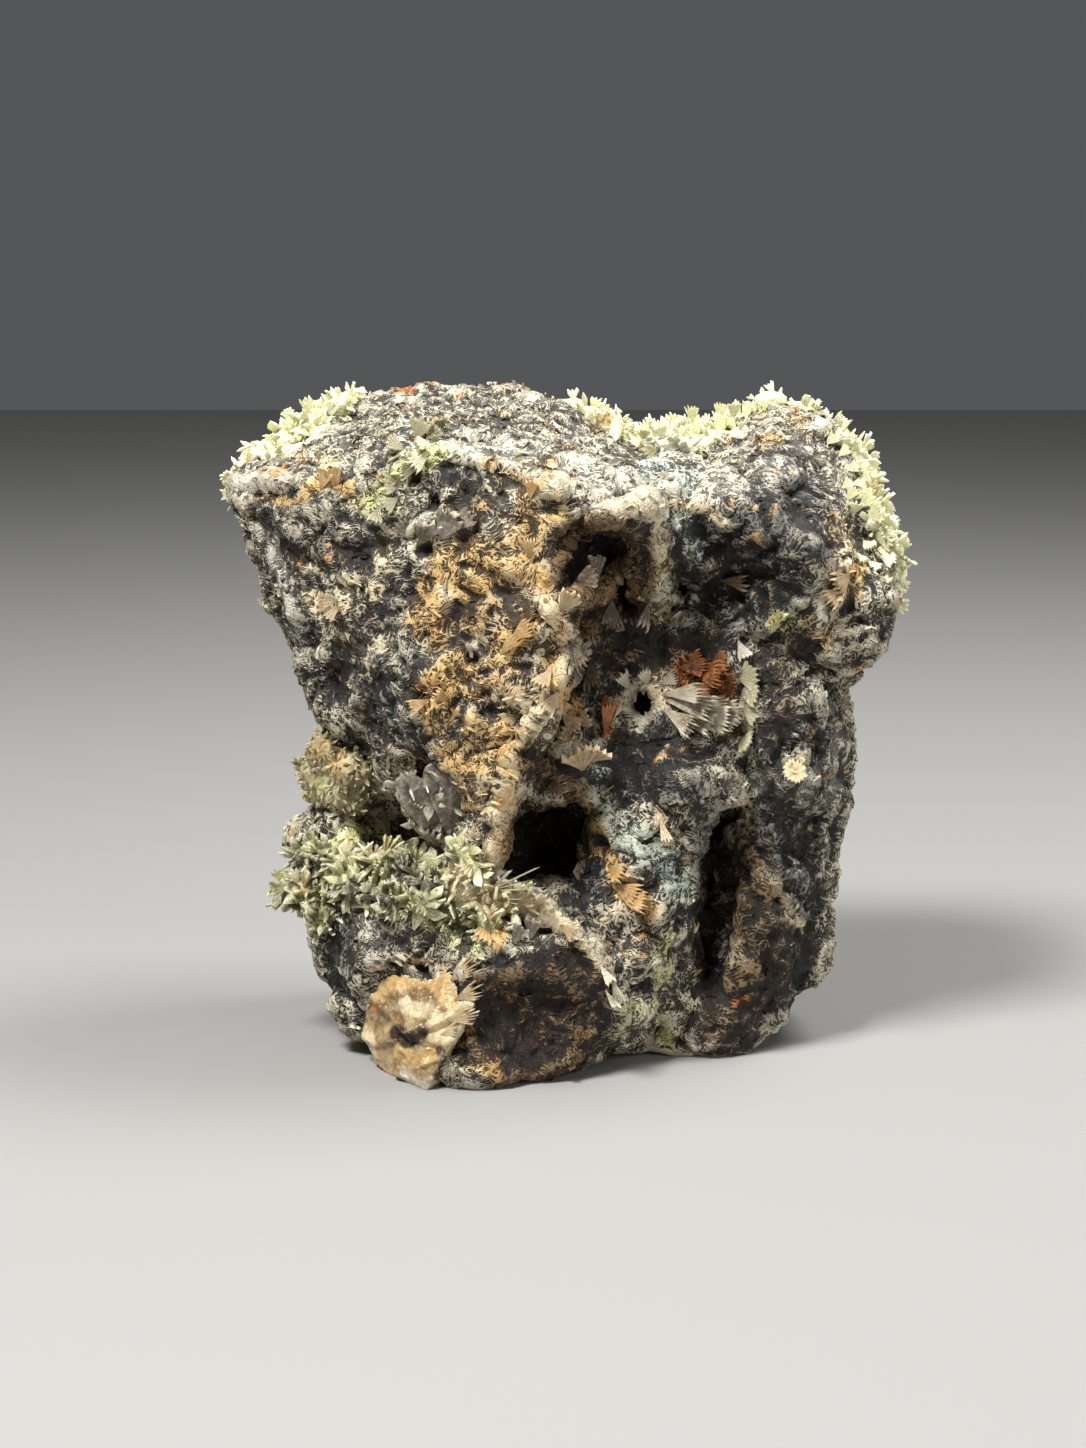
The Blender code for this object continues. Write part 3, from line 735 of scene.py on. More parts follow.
@dataclass(frozen=True)
class Selenite:
    """Pearly selenite: blades with a painted highlight on their tips and crests, random stains,
    and painted shade in their hollows and at their feet.
    """

    name: str
    body: Colour
    # Colour of the tips, also used for the painted highlight on ridges and tips.
    tip: Colour
    # Colour of the random stains, also used for the painted shade in hollows, at blade feet and in
    # fan grooves.
    stain_and_shade: Colour
    stain_share: float = 0.35
    roughness: float = 0.34
    subsurface: float = 0.25
    transmission: float = 0.0
    rib: float = 0.7 * MM
    cloud_size: float = 3.5 * MM
    blot_size: float = 6.0 * MM
    tint_grain: float = 2.2 * MM
    relief: float = 0.25 * MM

    def build(self) -> bpy.types.Material:
        """Makes the material."""
        material, graph, shader = new_material(self.name)
        place = graph.add("ShaderNodeTexCoord").outputs["Object"]
        cloud = graph.noise(place, self.cloud_size, 4.0, Distortion=0.6)
        colour = graph.mix(graph.span(cloud, 0.38, 0.68, 0.0, 0.5), self.body, self.tip)
        blot = graph.noise(place, self.blot_size, 5.0, Roughness=0.7)
        low = 0.66 - 0.35 * self.stain_share
        colour = graph.mix(graph.span(blot, low, low + 0.14, 0.0, 0.8), colour, self.stain_and_shade)
        for tint, share in tint_shares(graph, place, self.tint_grain, 1.2).items():
            target = TINTS[tint].ground if tint in (Tint.DARK, Tint.BROWN) else TINTS[tint].fibre
            colour = graph.mix(graph.math("MULTIPLY", share, 0.85), colour, target)
        fibres = graph.noise(place, self.rib, 2.0, Distortion=1.6)
        # Painted highlight: ridges, tips and fibre crests are lightened towards near white.
        raised = graph.math("MAXIMUM", graph.attribute("ridge"), graph.attribute("tip"))
        raised = graph.math("MULTIPLY_ADD", graph.span(fibres, 0.4, 0.65), 0.4, raised)
        light = graph.mix(0.15, self.tip, (1.0, 0.97, 0.86))
        colour = graph.mix(graph.span(raised, 0.35, 1.35, 0.0, 0.8), colour, light)
        # Painted shade: hollows, blade feet and fan grooves are darkened towards the colour of the
        # stains.
        foot = graph.math("MULTIPLY", graph.attribute("foot"), 0.7)
        hollow = graph.span(graph.attribute("hollow"), 0.1, 1.0, 0.0, 0.85)
        painted_shade = graph.math("MAXIMUM", hollow, foot)
        graph.feed(shader.inputs["Base Color"], graph.mix(painted_shade, colour, self.stain_and_shade))
        rough = graph.span(cloud, 0.3, 0.7, self.roughness - 0.08, self.roughness + 0.14)
        graph.feed(shader.inputs["Roughness"], rough)
        shader.inputs["Subsurface Weight"].default_value = self.subsurface
        shader.inputs["Subsurface Radius"].default_value = (1.0, 0.9, 0.5)
        shader.inputs["Subsurface Scale"].default_value = 1.2 * MM
        shader.inputs["Transmission Weight"].default_value = self.transmission
        shader.inputs["IOR"].default_value = 1.52
        graph.bump(shader, fibres, 0.6, self.relief)
        return material


@dataclass
class Scatter:
    """Small shapes strewn over a surface by Geometry Nodes, each turned with its neighbours."""

    name: str
    shapes: list[bpy.types.Object]
    spacing: float
    smallest: float
    largest: float
    tilt: float
    flow: float
    seed: int
    mask: str = ""
    swirl: float = 12.0

    def build_tree(self, material: bpy.types.Material) -> bpy.types.NodeTree:
        """Makes the tree of nodes that strews the shapes.

        Args:
            material: Material of the shapes.

        Returns:
            The tree, with inputs for its sizes.
        """
        tree = bpy.data.node_groups.new(self.name, "GeometryNodeTree")
        face = tree.interface
        face.new_socket("Surface", in_out="INPUT", socket_type="NodeSocketGeometry")
        for label in ("Spacing", "Smallest", "Largest", "Tilt", "Flow", "Swirl"):
            face.new_socket(label, in_out="INPUT", socket_type="NodeSocketFloat")
        face.new_socket("Seed", in_out="INPUT", socket_type="NodeSocketInt")
        face.new_socket("Shapes", in_out="OUTPUT", socket_type="NodeSocketGeometry")
        graph = Graph(tree)
        source = graph.add("NodeGroupInput").outputs
        spots = graph.add(
            "GeometryNodeDistributePointsOnFaces",
            {"Mesh": source["Surface"], "Distance Min": source["Spacing"], "Seed": source["Seed"]},
            distribute_method="POISSON",
        )
        gap = source["Spacing"]
        most = graph.math("DIVIDE", 1.6, graph.math("MULTIPLY", gap, gap))
        graph.feed(spots.inputs["Density Max"], most)
        if self.mask:
            cover = graph.add("GeometryNodeInputNamedAttribute", {"Name": self.mask})
            graph.feed(spots.inputs["Density Factor"], cover.outputs[0])
        position = graph.add("GeometryNodeInputPosition").outputs[0]
        swirl = graph.add("ShaderNodeTexNoise", {"Vector": position, "Detail": 1.0})
        graph.feed(swirl.inputs["Scale"], graph.math("DIVIDE", 1.0, source["Flow"]))
        stray = self.chance(graph, -0.7, 0.7, 1)
        turn = graph.math("MULTIPLY_ADD", swirl.outputs[0], source["Swirl"], stray)
        low = graph.math("MULTIPLY", source["Tilt"], -1.0)
        lean = [self.chance(graph, low, source["Tilt"], number) for number in (2, 3)]
        angles = graph.add("ShaderNodeCombineXYZ", {0: lean[0], 1: lean[1], 2: turn}).outputs[0]
        local = graph.add("FunctionNodeEulerToRotation", {0: angles}).outputs[0]
        rotation = graph.add(
            "FunctionNodeRotateRotation",
            {"Rotation": spots.outputs["Rotation"], "Rotate By": local},
            rotation_space="LOCAL",
        )
        size = self.chance(graph, source["Smallest"], source["Largest"], 4)
        group = graph.add(
            "GeometryNodeCollectionInfo",
            {"Collection": self.collection, "Separate Children": True, "Reset Children": True},
        )
        copies = graph.add(
            "GeometryNodeInstanceOnPoints",
            {
                "Points": spots.outputs[0],
                "Instance": group.outputs[0],
                "Pick Instance": True,
                "Instance Index": self.chance(graph, 0, len(self.shapes) - 1, 5, "INT"),
                "Rotation": rotation.outputs[0],
                "Scale": size,
            },
        )
        real = graph.add("GeometryNodeRealizeInstances", {0: copies.outputs[0]})
        dressed = graph.add(
            "GeometryNodeSetMaterial", {"Geometry": real.outputs[0], "Material": material}
        )
        graph.add("NodeGroupOutput", {0: dressed.outputs[0]})
        return tree

    @staticmethod
    def chance(graph: Graph, low: Any, high: Any, seed: int, kind: str = "FLOAT") -> Any:
        """A random value on each spot.

        Args:
            graph: The tree's graph.
            low: Lowest value.
            high: Highest value.
            seed: Seed of the values.
            kind: FLOAT or INT.

        Returns:
            The socket with the value.
        """
        node = graph.add("FunctionNodeRandomValue", data_type=kind)
        low_input, high_input = [s for s in node.inputs if s.enabled and s.name in ("Min", "Max")]
        graph.feed(low_input, low)
        graph.feed(high_input, high)
        graph.feed(node.inputs["Seed"], seed)
        return next(output for output in node.outputs if output.enabled)

    def build(self, surface: bpy.types.Object, material: bpy.types.Material) -> bpy.types.Object:
        """Strews the shapes over a surface.

        Args:
            surface: Object whose mesh carries the shapes.
            material: Material of the shapes.

        Returns:
            A new object with the shapes as one plain mesh.
        """
        self.collection = bpy.data.collections.new(self.name)
        for shape in self.shapes:
            self.collection.objects.link(shape)
        tree = self.build_tree(material)
        obj = bpy.data.objects.new(self.name, surface.data.copy())
        bpy.context.scene.collection.objects.link(obj)
        modifier = obj.modifiers.new("strewn", "NODES")
        modifier.node_group = tree
        values = {
            "Spacing": self.spacing,
            "Smallest": self.smallest,
            "Largest": self.largest,
            "Tilt": self.tilt,
            "Flow": self.flow,
            "Swirl": self.swirl,
            "Seed": self.seed,
        }
        for item in tree.interface.items_tree:
            if item.name in values:
                modifier[item.identifier] = values[item.name]
        bake_modifiers(obj)
        for shape in self.shapes:
            bpy.data.objects.remove(shape)
        bpy.data.collections.remove(self.collection)
        bpy.data.node_groups.remove(tree)
        return obj


def shape_object(name: str, bm: bmesh.types.BMesh, top: float = 1.0) -> bpy.types.Object:
    """Makes an unlinked object of a bmesh, with its tip and its foot kept on it.

    Args:
        name: Name of the object.
        bm: The shape, which stands along Z. It is freed.
        top: Height that counts as the tip.

    Returns:
        The object.
    """
    bmesh.ops.recalc_face_normals(bm, faces=bm.faces)
    mesh = bpy.data.meshes.new(name)
    bm.to_mesh(mesh)
    bm.free()
    # The tip share gives the upper blade a painted highlight, and the foot share gives its base
    # painted shade.
    heights = np.array([vertex.co.z for vertex in mesh.vertices]) / top
    tip = mesh.attributes.new("tip", "FLOAT", "POINT")
    tip.data.foreach_set("value", np.clip(heights, 0.0, 1.0).astype(np.float32))
    foot = mesh.attributes.new("foot", "FLOAT", "POINT")
    foot.data.foreach_set("value", np.clip(1.0 - 2.5 * heights, 0.0, 1.0).astype(np.float32))
    return bpy.data.objects.new(name, mesh)


def blade_shape(
    name: str, width: float, thickness: float, slant: float, blunt: float
) -> bpy.types.Object:
    """A flat blade of length 1 that stands on its foot and ends in a slanted chisel.

    Args:
        name: Name of the object.
        width: Width as a share of the length.
        thickness: Thickness as a share of the length.
        slant: How far the tip leans, as a share of the length.
        blunt: Thickness left at the tip, as a share of the thickness.

    Returns:
        The object.
    """
    foot, shoulder, tip = (-0.3, 0.7, 1.0), (0.62, 1.0, 0.8), (1.0, 0.55 + 0.4 * blunt, blunt)
    bm = bmesh.new()
    verts = []
    for height, wide, thick in (foot, shoulder, tip):
        for side in (-1, 1):
            for face in (-1, 1):
                lean = slant * side * (height > 0.9)
                point = (side * width / 2 * wide, face * thickness / 2 * thick, height + lean)
                verts.append(bm.verts.new(point))
    bmesh.ops.convex_hull(bm, input=verts)
    return shape_object(name, bm)


def curl_shape(name: str, bend: float, height: float, width: float) -> bpy.types.Object:
    """A short curved strand of length 1 that lies on the surface.

    Args:
        name: Name of the object.
        bend: How far its middle stands off the straight line.
        height: Height of its crest.
        width: Width of its foot.

    Returns:
        The object.
    """
    bm = bmesh.new()
    rows = []
    for share in (0.0, 0.5, 1.0):
        along = share - 0.5
        off = bend * (1.0 - 4.0 * along * along)
        rise = height * (1.0 - 3.2 * along * along)
        left, right = off - width / 2, off + width / 2
        row = [(along, left, -0.12), (along, right, -0.12), (along, off, rise)]
        rows.append([bm.verts.new(point) for point in row])
    for first, second in zip(rows, rows[1:]):
        for a, b in ((0, 1), (1, 2), (2, 0)):
            bm.faces.new((first[a], first[b], second[b], second[a]))
    bm.faces.new(rows[0])
    bm.faces.new(rows[-1])
    return shape_object(name, bm)


@dataclass(frozen=True)
class Fan:
    """A ribbed fan of crystals grown together, which opens from its foot along Z."""

    spread: float
    ribs: int
    thickness: float = 0.12
    cup: float = 0.15
    jag: float = 0.12
    rows: tuple[float, ...] = (0.06, 0.4, 0.8, 1.0)
    seed: int = 1

    def point(self, row: float, column: int, length: float, front: bool) -> Vector:
        """A point of the fan, for a radius of 1.

        Args:
            row: Distance from the foot as a share of the rib's length.
            column: Number of the crest or groove, counted from the left.
            length: Length of the rib.
            front: Whether the point is on the ribbed side.

        Returns:
            The point.
        """
        angle = self.spread * (column / (2.0 * self.ribs) - 0.5)
        reach = row * length
        crest = self.thickness * (0.35 + 0.65 * row) if column % 2 else 0.0
        off = crest if front else -0.6 * self.thickness
        bow = self.cup * reach * reach
        return Vector((reach * math.sin(angle), off - bow, reach * math.cos(angle)))

    def add_to(self, bm: bmesh.types.BMesh, place: Matrix, radius: float) -> None:
        """Adds the fan to a bmesh that has tip and foot layers.

        Args:
            bm: The bmesh.
            place: Where the fan's foot is, with Z the way it opens and Y its ribbed side.
            radius: Length of its ribs.
        """
        tip = bm.verts.layers.float["tip"]
        foot = bm.verts.layers.float["foot"]
        chance = np.random.default_rng(self.seed)
        sheets: list[list[list[bmesh.types.BMVert]]] = [[], []]
        columns = range(2 * self.ribs + 1)
        spans = [(-0.4, 1.0) if column % 2 else (-1.0, -0.4) for column in columns]
        lengths = [1.0 + self.jag * chance.uniform(*span) for span in spans]
        for row in self.rows:
            for sheet, front in zip(sheets, (True, False)):
                line = []
                for column, length in enumerate(lengths):
                    vert = bm.verts.new(place @ (self.point(row, column, length, front) * radius))
                    # The tip share gives crests a painted highlight, and the foot share gives
                    # grooves and the fan's foot painted shade.
                    vert[tip] = row * (1.0 if column % 2 else 0.2) * (1.0 if front else 0.6)
                    vert[foot] = max(0.0, 1.0 - 2.2 * row) if column % 2 else 0.9 - 0.6 * row
                    line.append(vert)
                sheet.append(line)
        front, back = sheets
        for row in range(len(self.rows) - 1):
            for column in range(2 * self.ribs):
                for sheet in sheets:
                    low, high = sheet[row], sheet[row + 1]
                    bm.faces.new((low[column], low[column + 1], high[column + 1], high[column]))
            around = (front[row], front[row + 1], back[row + 1], back[row])
            for column in (0, -1):
                bm.faces.new([line[column] for line in around])
        for near, far in ((front[0], back[0]), (front[-1], back[-1])):
            for column in range(2 * self.ribs):
                bm.faces.new((near[column], near[column + 1], far[column + 1], far[column]))


def fan_bmesh() -> bmesh.types.BMesh:
    """An empty bmesh with the layers that fans write."""
    bm = bmesh.new()
    bm.verts.layers.float.new("tip")
    bm.verts.layers.float.new("foot")
    return bm


def mesh_object(name: str, bm: bmesh.types.BMesh) -> bpy.types.Object:
    """Makes an unlinked object of a bmesh, with its faces outwards. The bmesh is freed."""
    bmesh.ops.recalc_face_normals(bm, faces=bm.faces)
    mesh = bpy.data.meshes.new(name)
    bm.to_mesh(mesh)
    bm.free()
    return bpy.data.objects.new(name, mesh)


def fan_shape(name: str, fan: Fan) -> bpy.types.Object:
    """An unlinked object with one fan of radius 1, sunk a little at its foot."""
    bm = fan_bmesh()
    fan.add_to(bm, Matrix.Translation((0.0, 0.0, -0.25)), 1.2)
    return mesh_object(name, bm)


@dataclass(frozen=True)
class FanSpot:
    """A fan on the front: where its foot is, the way it opens, and its form."""

    foot: Pixel
    heading: float
    radius: float
    spread: float
    ribs: int
    lift: float = 25.0
    cup: float = 0.15
    jag: float = 0.12

    def place(self, trees: Sequence[BVHTree]) -> Matrix:
        """Where the fan stands.

        Args:
            trees: The surfaces that may carry it.

        Returns:
            Its place, with Z the way it opens and Y its ribbed side.
        """
        point, normal = VIEW.hit(trees, self.foot)
        normal = (normal + VIEW.back).normalized()
        angle = math.radians(self.heading)
        heading = Vector((1.0, 0.0, 0.0)) * math.cos(angle) + VIEW.up * math.sin(angle)
        flat = (heading - normal * heading.dot(normal)).normalized()
        rise = math.radians(self.lift)
        along = flat * math.cos(rise) + normal * math.sin(rise)
        across = normal.cross(along).normalized()
        turn = Matrix((across, along.cross(across) * -1.0, along)).transposed()
        if turn.determinant() < 0.0:
            turn = Matrix((-across, along.cross(across) * -1.0, along)).transposed()
        return Matrix.Translation(point - normal * 0.3 * MM) @ turn.to_4x4()


def spots(*rows: tuple[float, ...]) -> tuple[FanSpot, ...]:
    """Fans from rows of the foot's two pixels and then FanSpot's other fields in order."""
    return tuple(FanSpot((row[0], row[1]), *row[2:]) for row in rows)


@dataclass
class FanGroup:
    """Fans of one finish that stand on the rock."""

    name: str
    finish: Selenite
    spots: tuple[FanSpot, ...]
    thickness: float = 0.15
    jag_share: float = 1.3

    def build(self, trees: Sequence[BVHTree]) -> bpy.types.Object:
        """Makes all the fans as one object.

        Args:
            trees: The surfaces that may carry them.

        Returns:
            The object, linked and dressed.
        """
        bm = fan_bmesh()
        for number, spot in enumerate(self.spots):
            jag = self.jag_share * spot.jag
            spread = math.radians(spot.spread)
            fan = Fan(spread, spot.ribs, self.thickness, spot.cup, jag, seed=number)
            fan.add_to(bm, spot.place(trees), spot.radius * MM)
        obj = mesh_object(self.name, bm)
        bpy.context.scene.collection.objects.link(obj)
        obj.data.materials.append(self.finish.build())
        return obj


ROCK_STROKES = strokes(
    (6, 2.3, (
        (640, 506), (600, 518), (560, 540), (546, 570), (549, 600), (562, 622), (558, 655),
        (550, 690), (530, 725), (510, 760), (500, 795), (497, 830), (490, 858),
    )),
    (6, 1.2, (
        (235, 485), (300, 482), (345, 496), (380, 480), (440, 452), (500, 468), (560, 492),
    )),
    (5, 0.9, ((440, 438), (500, 447), (560, 463), (640, 488))),
    (8, 1.4, ((650, 505), (656, 540), (649, 575), (655, 600))),
    (5, 1.2, ((682, 622), (720, 638), (760, 628), (800, 600))),
    (6, 1.1, ((560, 603), (600, 592), (640, 590), (672, 602))),
    (7, 1.6, ((505, 893), (530, 905), (560, 925), (590, 950), (612, 985))),
    (7, 0.9, ((250, 500), (290, 590), (320, 680), (345, 728), (380, 780), (420, 830))),
    (6, 1.0, ((510, 758), (560, 772), (600, 800))),
    (8, 1.1, ((690, 828), (700, 860), (694, 905))),
    (7, -1.4, ((582, 628), (578, 680), (566, 722), (536, 765), (518, 800))),
    (6, 1.2, ((746, 806), (750, 850), (768, 882), (788, 908), (802, 928))),
    (4, 0.8, ((700, 560), (740, 566), (775, 556))),
    (6, 0.9, ((590, 792), (602, 830), (640, 850))),
    (5, 0.9, ((410, 530), (440, 512), (470, 525))),
    (8, -1.8, (
        (325, 725), (350, 745), (370, 772), (386, 812), (402, 846), (440, 856), (485, 861),
    )),
    (5, -1.2, ((376, 970), (400, 962), (440, 961), (480, 967))),
    (14, -1.2, ((716, 800), (712, 850), (705, 900), (705, 960), (712, 1000))),
    (5, -0.9, ((600, 834), (650, 838), (692, 826))),
    (6, -0.9, ((745, 645), (751, 700), (748, 760), (744, 820))),
)
ROCK_DENTS = dents(
    ((642, 703), (15, 14), 5.5), ((792, 490), (14, 12), 2.2), ((600, 556), (46, 36), 1.6),
    ((545, 842), (46, 40), 1.0), ((735, 585), (48, 34), 1.4), ((420, 780), (26, 40), 1.2),
    ((800, 815), (26, 12), 1.2), ((337, 746), (6, 5), 1.2), ((428, 1012), (66, 60), 1.5),
    ((795, 771), (13, 13), 1.9),
)
ROCK_ZONES = zones({
    Tint.PALE: (
        (16, 0.8, ((435, 440), (500, 447), (560, 463), (640, 488))),
        (22, 0.7, ((600, 470), (650, 490), (720, 480), (780, 470))),
        (10, 0.8, ((238, 482), (262, 530), (290, 590), (308, 660))),
        (18, 0.7, ((410, 525), (465, 520))),
        (12, 0.6, ((345, 655), (400, 655), (470, 648))),
        (20, 0.7, ((790, 520), (835, 560), (820, 600))),
        (12, 0.8, ((730, 780), (770, 785), (800, 795), (835, 760))),
        (14, 0.6, ((820, 700), (838, 740), (835, 800))),
        (26, 0.5, ((360, 900), (400, 925), (350, 950))),
        (14, 0.5, ((480, 790), (492, 845))),
        (34, 1.0, ((362, 800), (385, 840), (420, 850))),
    ),
    # Dark zones: partly the rock's own dark patches, partly painted shade under the right lump, in
    # the groove, on the lower right and on other shaded faces.
    Tint.DARK: (
        (42, 2.0, ((705, 560), (755, 545), (770, 600))),
        (22, 0.9, ((690, 625), (730, 632))),
        (26, 0.8, ((330, 545), (375, 570), (380, 620))),
        (24, 0.7, ((370, 680), (385, 715), (420, 740))),
        (22, 0.7, ((465, 475), (500, 500), (490, 530))),
        (12, 0.8, ((258, 505), (275, 530), (290, 545))),
        (36, 0.9, ((640, 770), (690, 770))),
        (20, 1.2, ((708, 815), (712, 870), (706, 940), (716, 990))),
        (14, 0.9, ((780, 812), (820, 816))),
        (26, 0.8, ((575, 690), (600, 660), (560, 700))),
        (10, 0.7, ((350, 730), (360, 760))),
        (30, 1.0, ((690, 690), (650, 760), (600, 770))),
        (38, 1.5, ((775, 830), (790, 900), (775, 980))),
        (20, 0.6, ((340, 930), (345, 990))),
        (30, 0.9, ((560, 1000), (600, 1030))),
        (16, 0.6, ((770, 445), (800, 455))),
        (30, 1.0, ((765, 500), (800, 500), (815, 540))),
        (60, 0.55, ((780, 700), (800, 800), (770, 900))),
        (60, 0.5, ((330, 620), (360, 700))),
        (40, 1.1, ((500, 990), (560, 985), (520, 1030))),
        (20, 1.2, ((600, 880), (575, 900))),
    ),
    Tint.TEAL: (
        (22, 0.7, ((650, 462), (685, 478))),
        (14, 0.7, ((692, 432), (730, 436))),
        (14, 0.7, ((682, 520), (695, 552))),
        (14, 0.8, ((412, 440), (436, 436))),
        (22, 0.7, ((598, 800), (620, 835), (660, 850), (682, 885))),
        (12, 0.6, ((560, 780), (600, 770))),
    ),
    Tint.GREEN: (
        (14, 1.0, ((438, 452), (405, 472), (385, 490), (365, 500))),
        (12, 0.8, ((375, 510), (400, 508))),
        (12, 0.7, ((775, 625), (792, 620))),
        (26, 0.8, ((400, 880), (440, 920), (470, 940))),
        (14, 0.8, ((330, 850), (360, 830), (400, 835))),
        (12, 0.6, ((665, 940), (660, 1000), (668, 1045))),
        (16, 0.5, ((605, 1040), (635, 1010))),
    ),
    Tint.CREAM: (
        (10, 0.8, ((245, 450), (290, 448), (330, 462))),
        (7, 0.8, ((556, 545), (580, 520), (625, 504), (655, 500), (700, 508), (722, 522))),
        (10, 0.6, ((652, 510), (660, 545), (655, 575))),
        (12, 1.1, ((548, 600), (562, 622), (556, 690), (514, 760), (500, 830), (491, 856))),
        (26, 0.9, ((665, 690), (700, 700), (730, 715))),
        (12, 0.9, ((312, 600), (345, 606))),
        (14, 0.6, ((505, 705), (555, 728))),
        (16, 0.8, ((836, 520), (852, 565), (832, 598))),
        (10, 0.8, ((598, 592), (645, 585), (668, 565))),
        (8, 0.9, ((660, 818), (670, 845))),
        (10, 0.9, ((478, 905), (512, 898), (540, 910), (570, 930), (598, 975))),
        (8, 0.7, ((746, 806), (750, 850), (768, 882), (788, 908), (802, 928))),
        (12, 0.5, ((372, 600), (390, 540))),
        (12, 0.5, ((640, 905), (600, 925))),
        (34, 0.5, ((530, 540), (545, 640), (560, 720))),
        (34, 0.45, ((330, 600), (360, 650), (330, 560))),
    ),
    Tint.OCHRE: (
        (70, 0.55, ((520, 510), (490, 600), (470, 700), (485, 770))),
        (12, 1.0, ((308, 490), (330, 474), (352, 492))),
        (7, 0.9, ((255, 498), (298, 500))),
        (14, 0.9, ((526, 495), (535, 530), (560, 515))),
        (30, 0.85, ((450, 550), (490, 572), (465, 590))),
        (14, 0.9, ((435, 575), (425, 600))),
        (18, 0.8, ((520, 560), (545, 585))),
        (20, 0.8, ((420, 620), (480, 612))),
        (20, 1.1, ((525, 625), (500, 655))),
        (22, 1.1, ((462, 665), (435, 690), (440, 720))),
        (12, 0.9, ((550, 660), (556, 690), (572, 712))),
        (24, 0.8, ((455, 755), (480, 780), (475, 740))),
        (13, 1.1, ((614, 866), (622, 892), (645, 908))),
        (10, 0.9, ((860, 565), (855, 596))),
        (12, 0.9, ((485, 912), (498, 935))),
        (24, 0.55, ((450, 1010), (470, 1060), (520, 1075))),
        (16, 0.5, ((800, 425), (770, 440))),
        (16, 0.5, ((810, 625), (828, 640))),
        (34, 1.0, ((530, 850), (575, 832))),
    ),
    # Brown zones: partly the rock's own brown, partly painted shade in the caves and on the
    # undercut above the floor.
    Tint.BROWN: (
        (34, 1.4, ((585, 545), (620, 545), (630, 580), (590, 580))),
        (30, 1.2, ((575, 560), (610, 545))),
        (26, 1.0, ((590, 620), (640, 615), (620, 660))),
        (20, 0.8, ((650, 650), (700, 640))),
        (40, 1.3, ((530, 845), (570, 830))),
        (24, 0.9, ((535, 760), (575, 790))),
        (50, 2.0, ((490, 1020), (560, 1000), (540, 1060))),
        (40, 0.8, ((740, 860), (760, 960), (730, 1020))),
        (14, 0.8, ((445, 612), (470, 618))),
        (20, 0.6, ((800, 640), (770, 660), (785, 720))),
        (9, 0.7, ((398, 780), (404, 830), (440, 856))),
    ),
    Tint.RUST: (
        (20, 1.2, ((690, 672), (720, 680))),
        (8, 0.9, ((606, 700), (606, 730))),
        (7, 1.0, ((736, 1003), (745, 1002))),
        (7, 1.0, ((395, 388), (410, 388))),
    ),
})


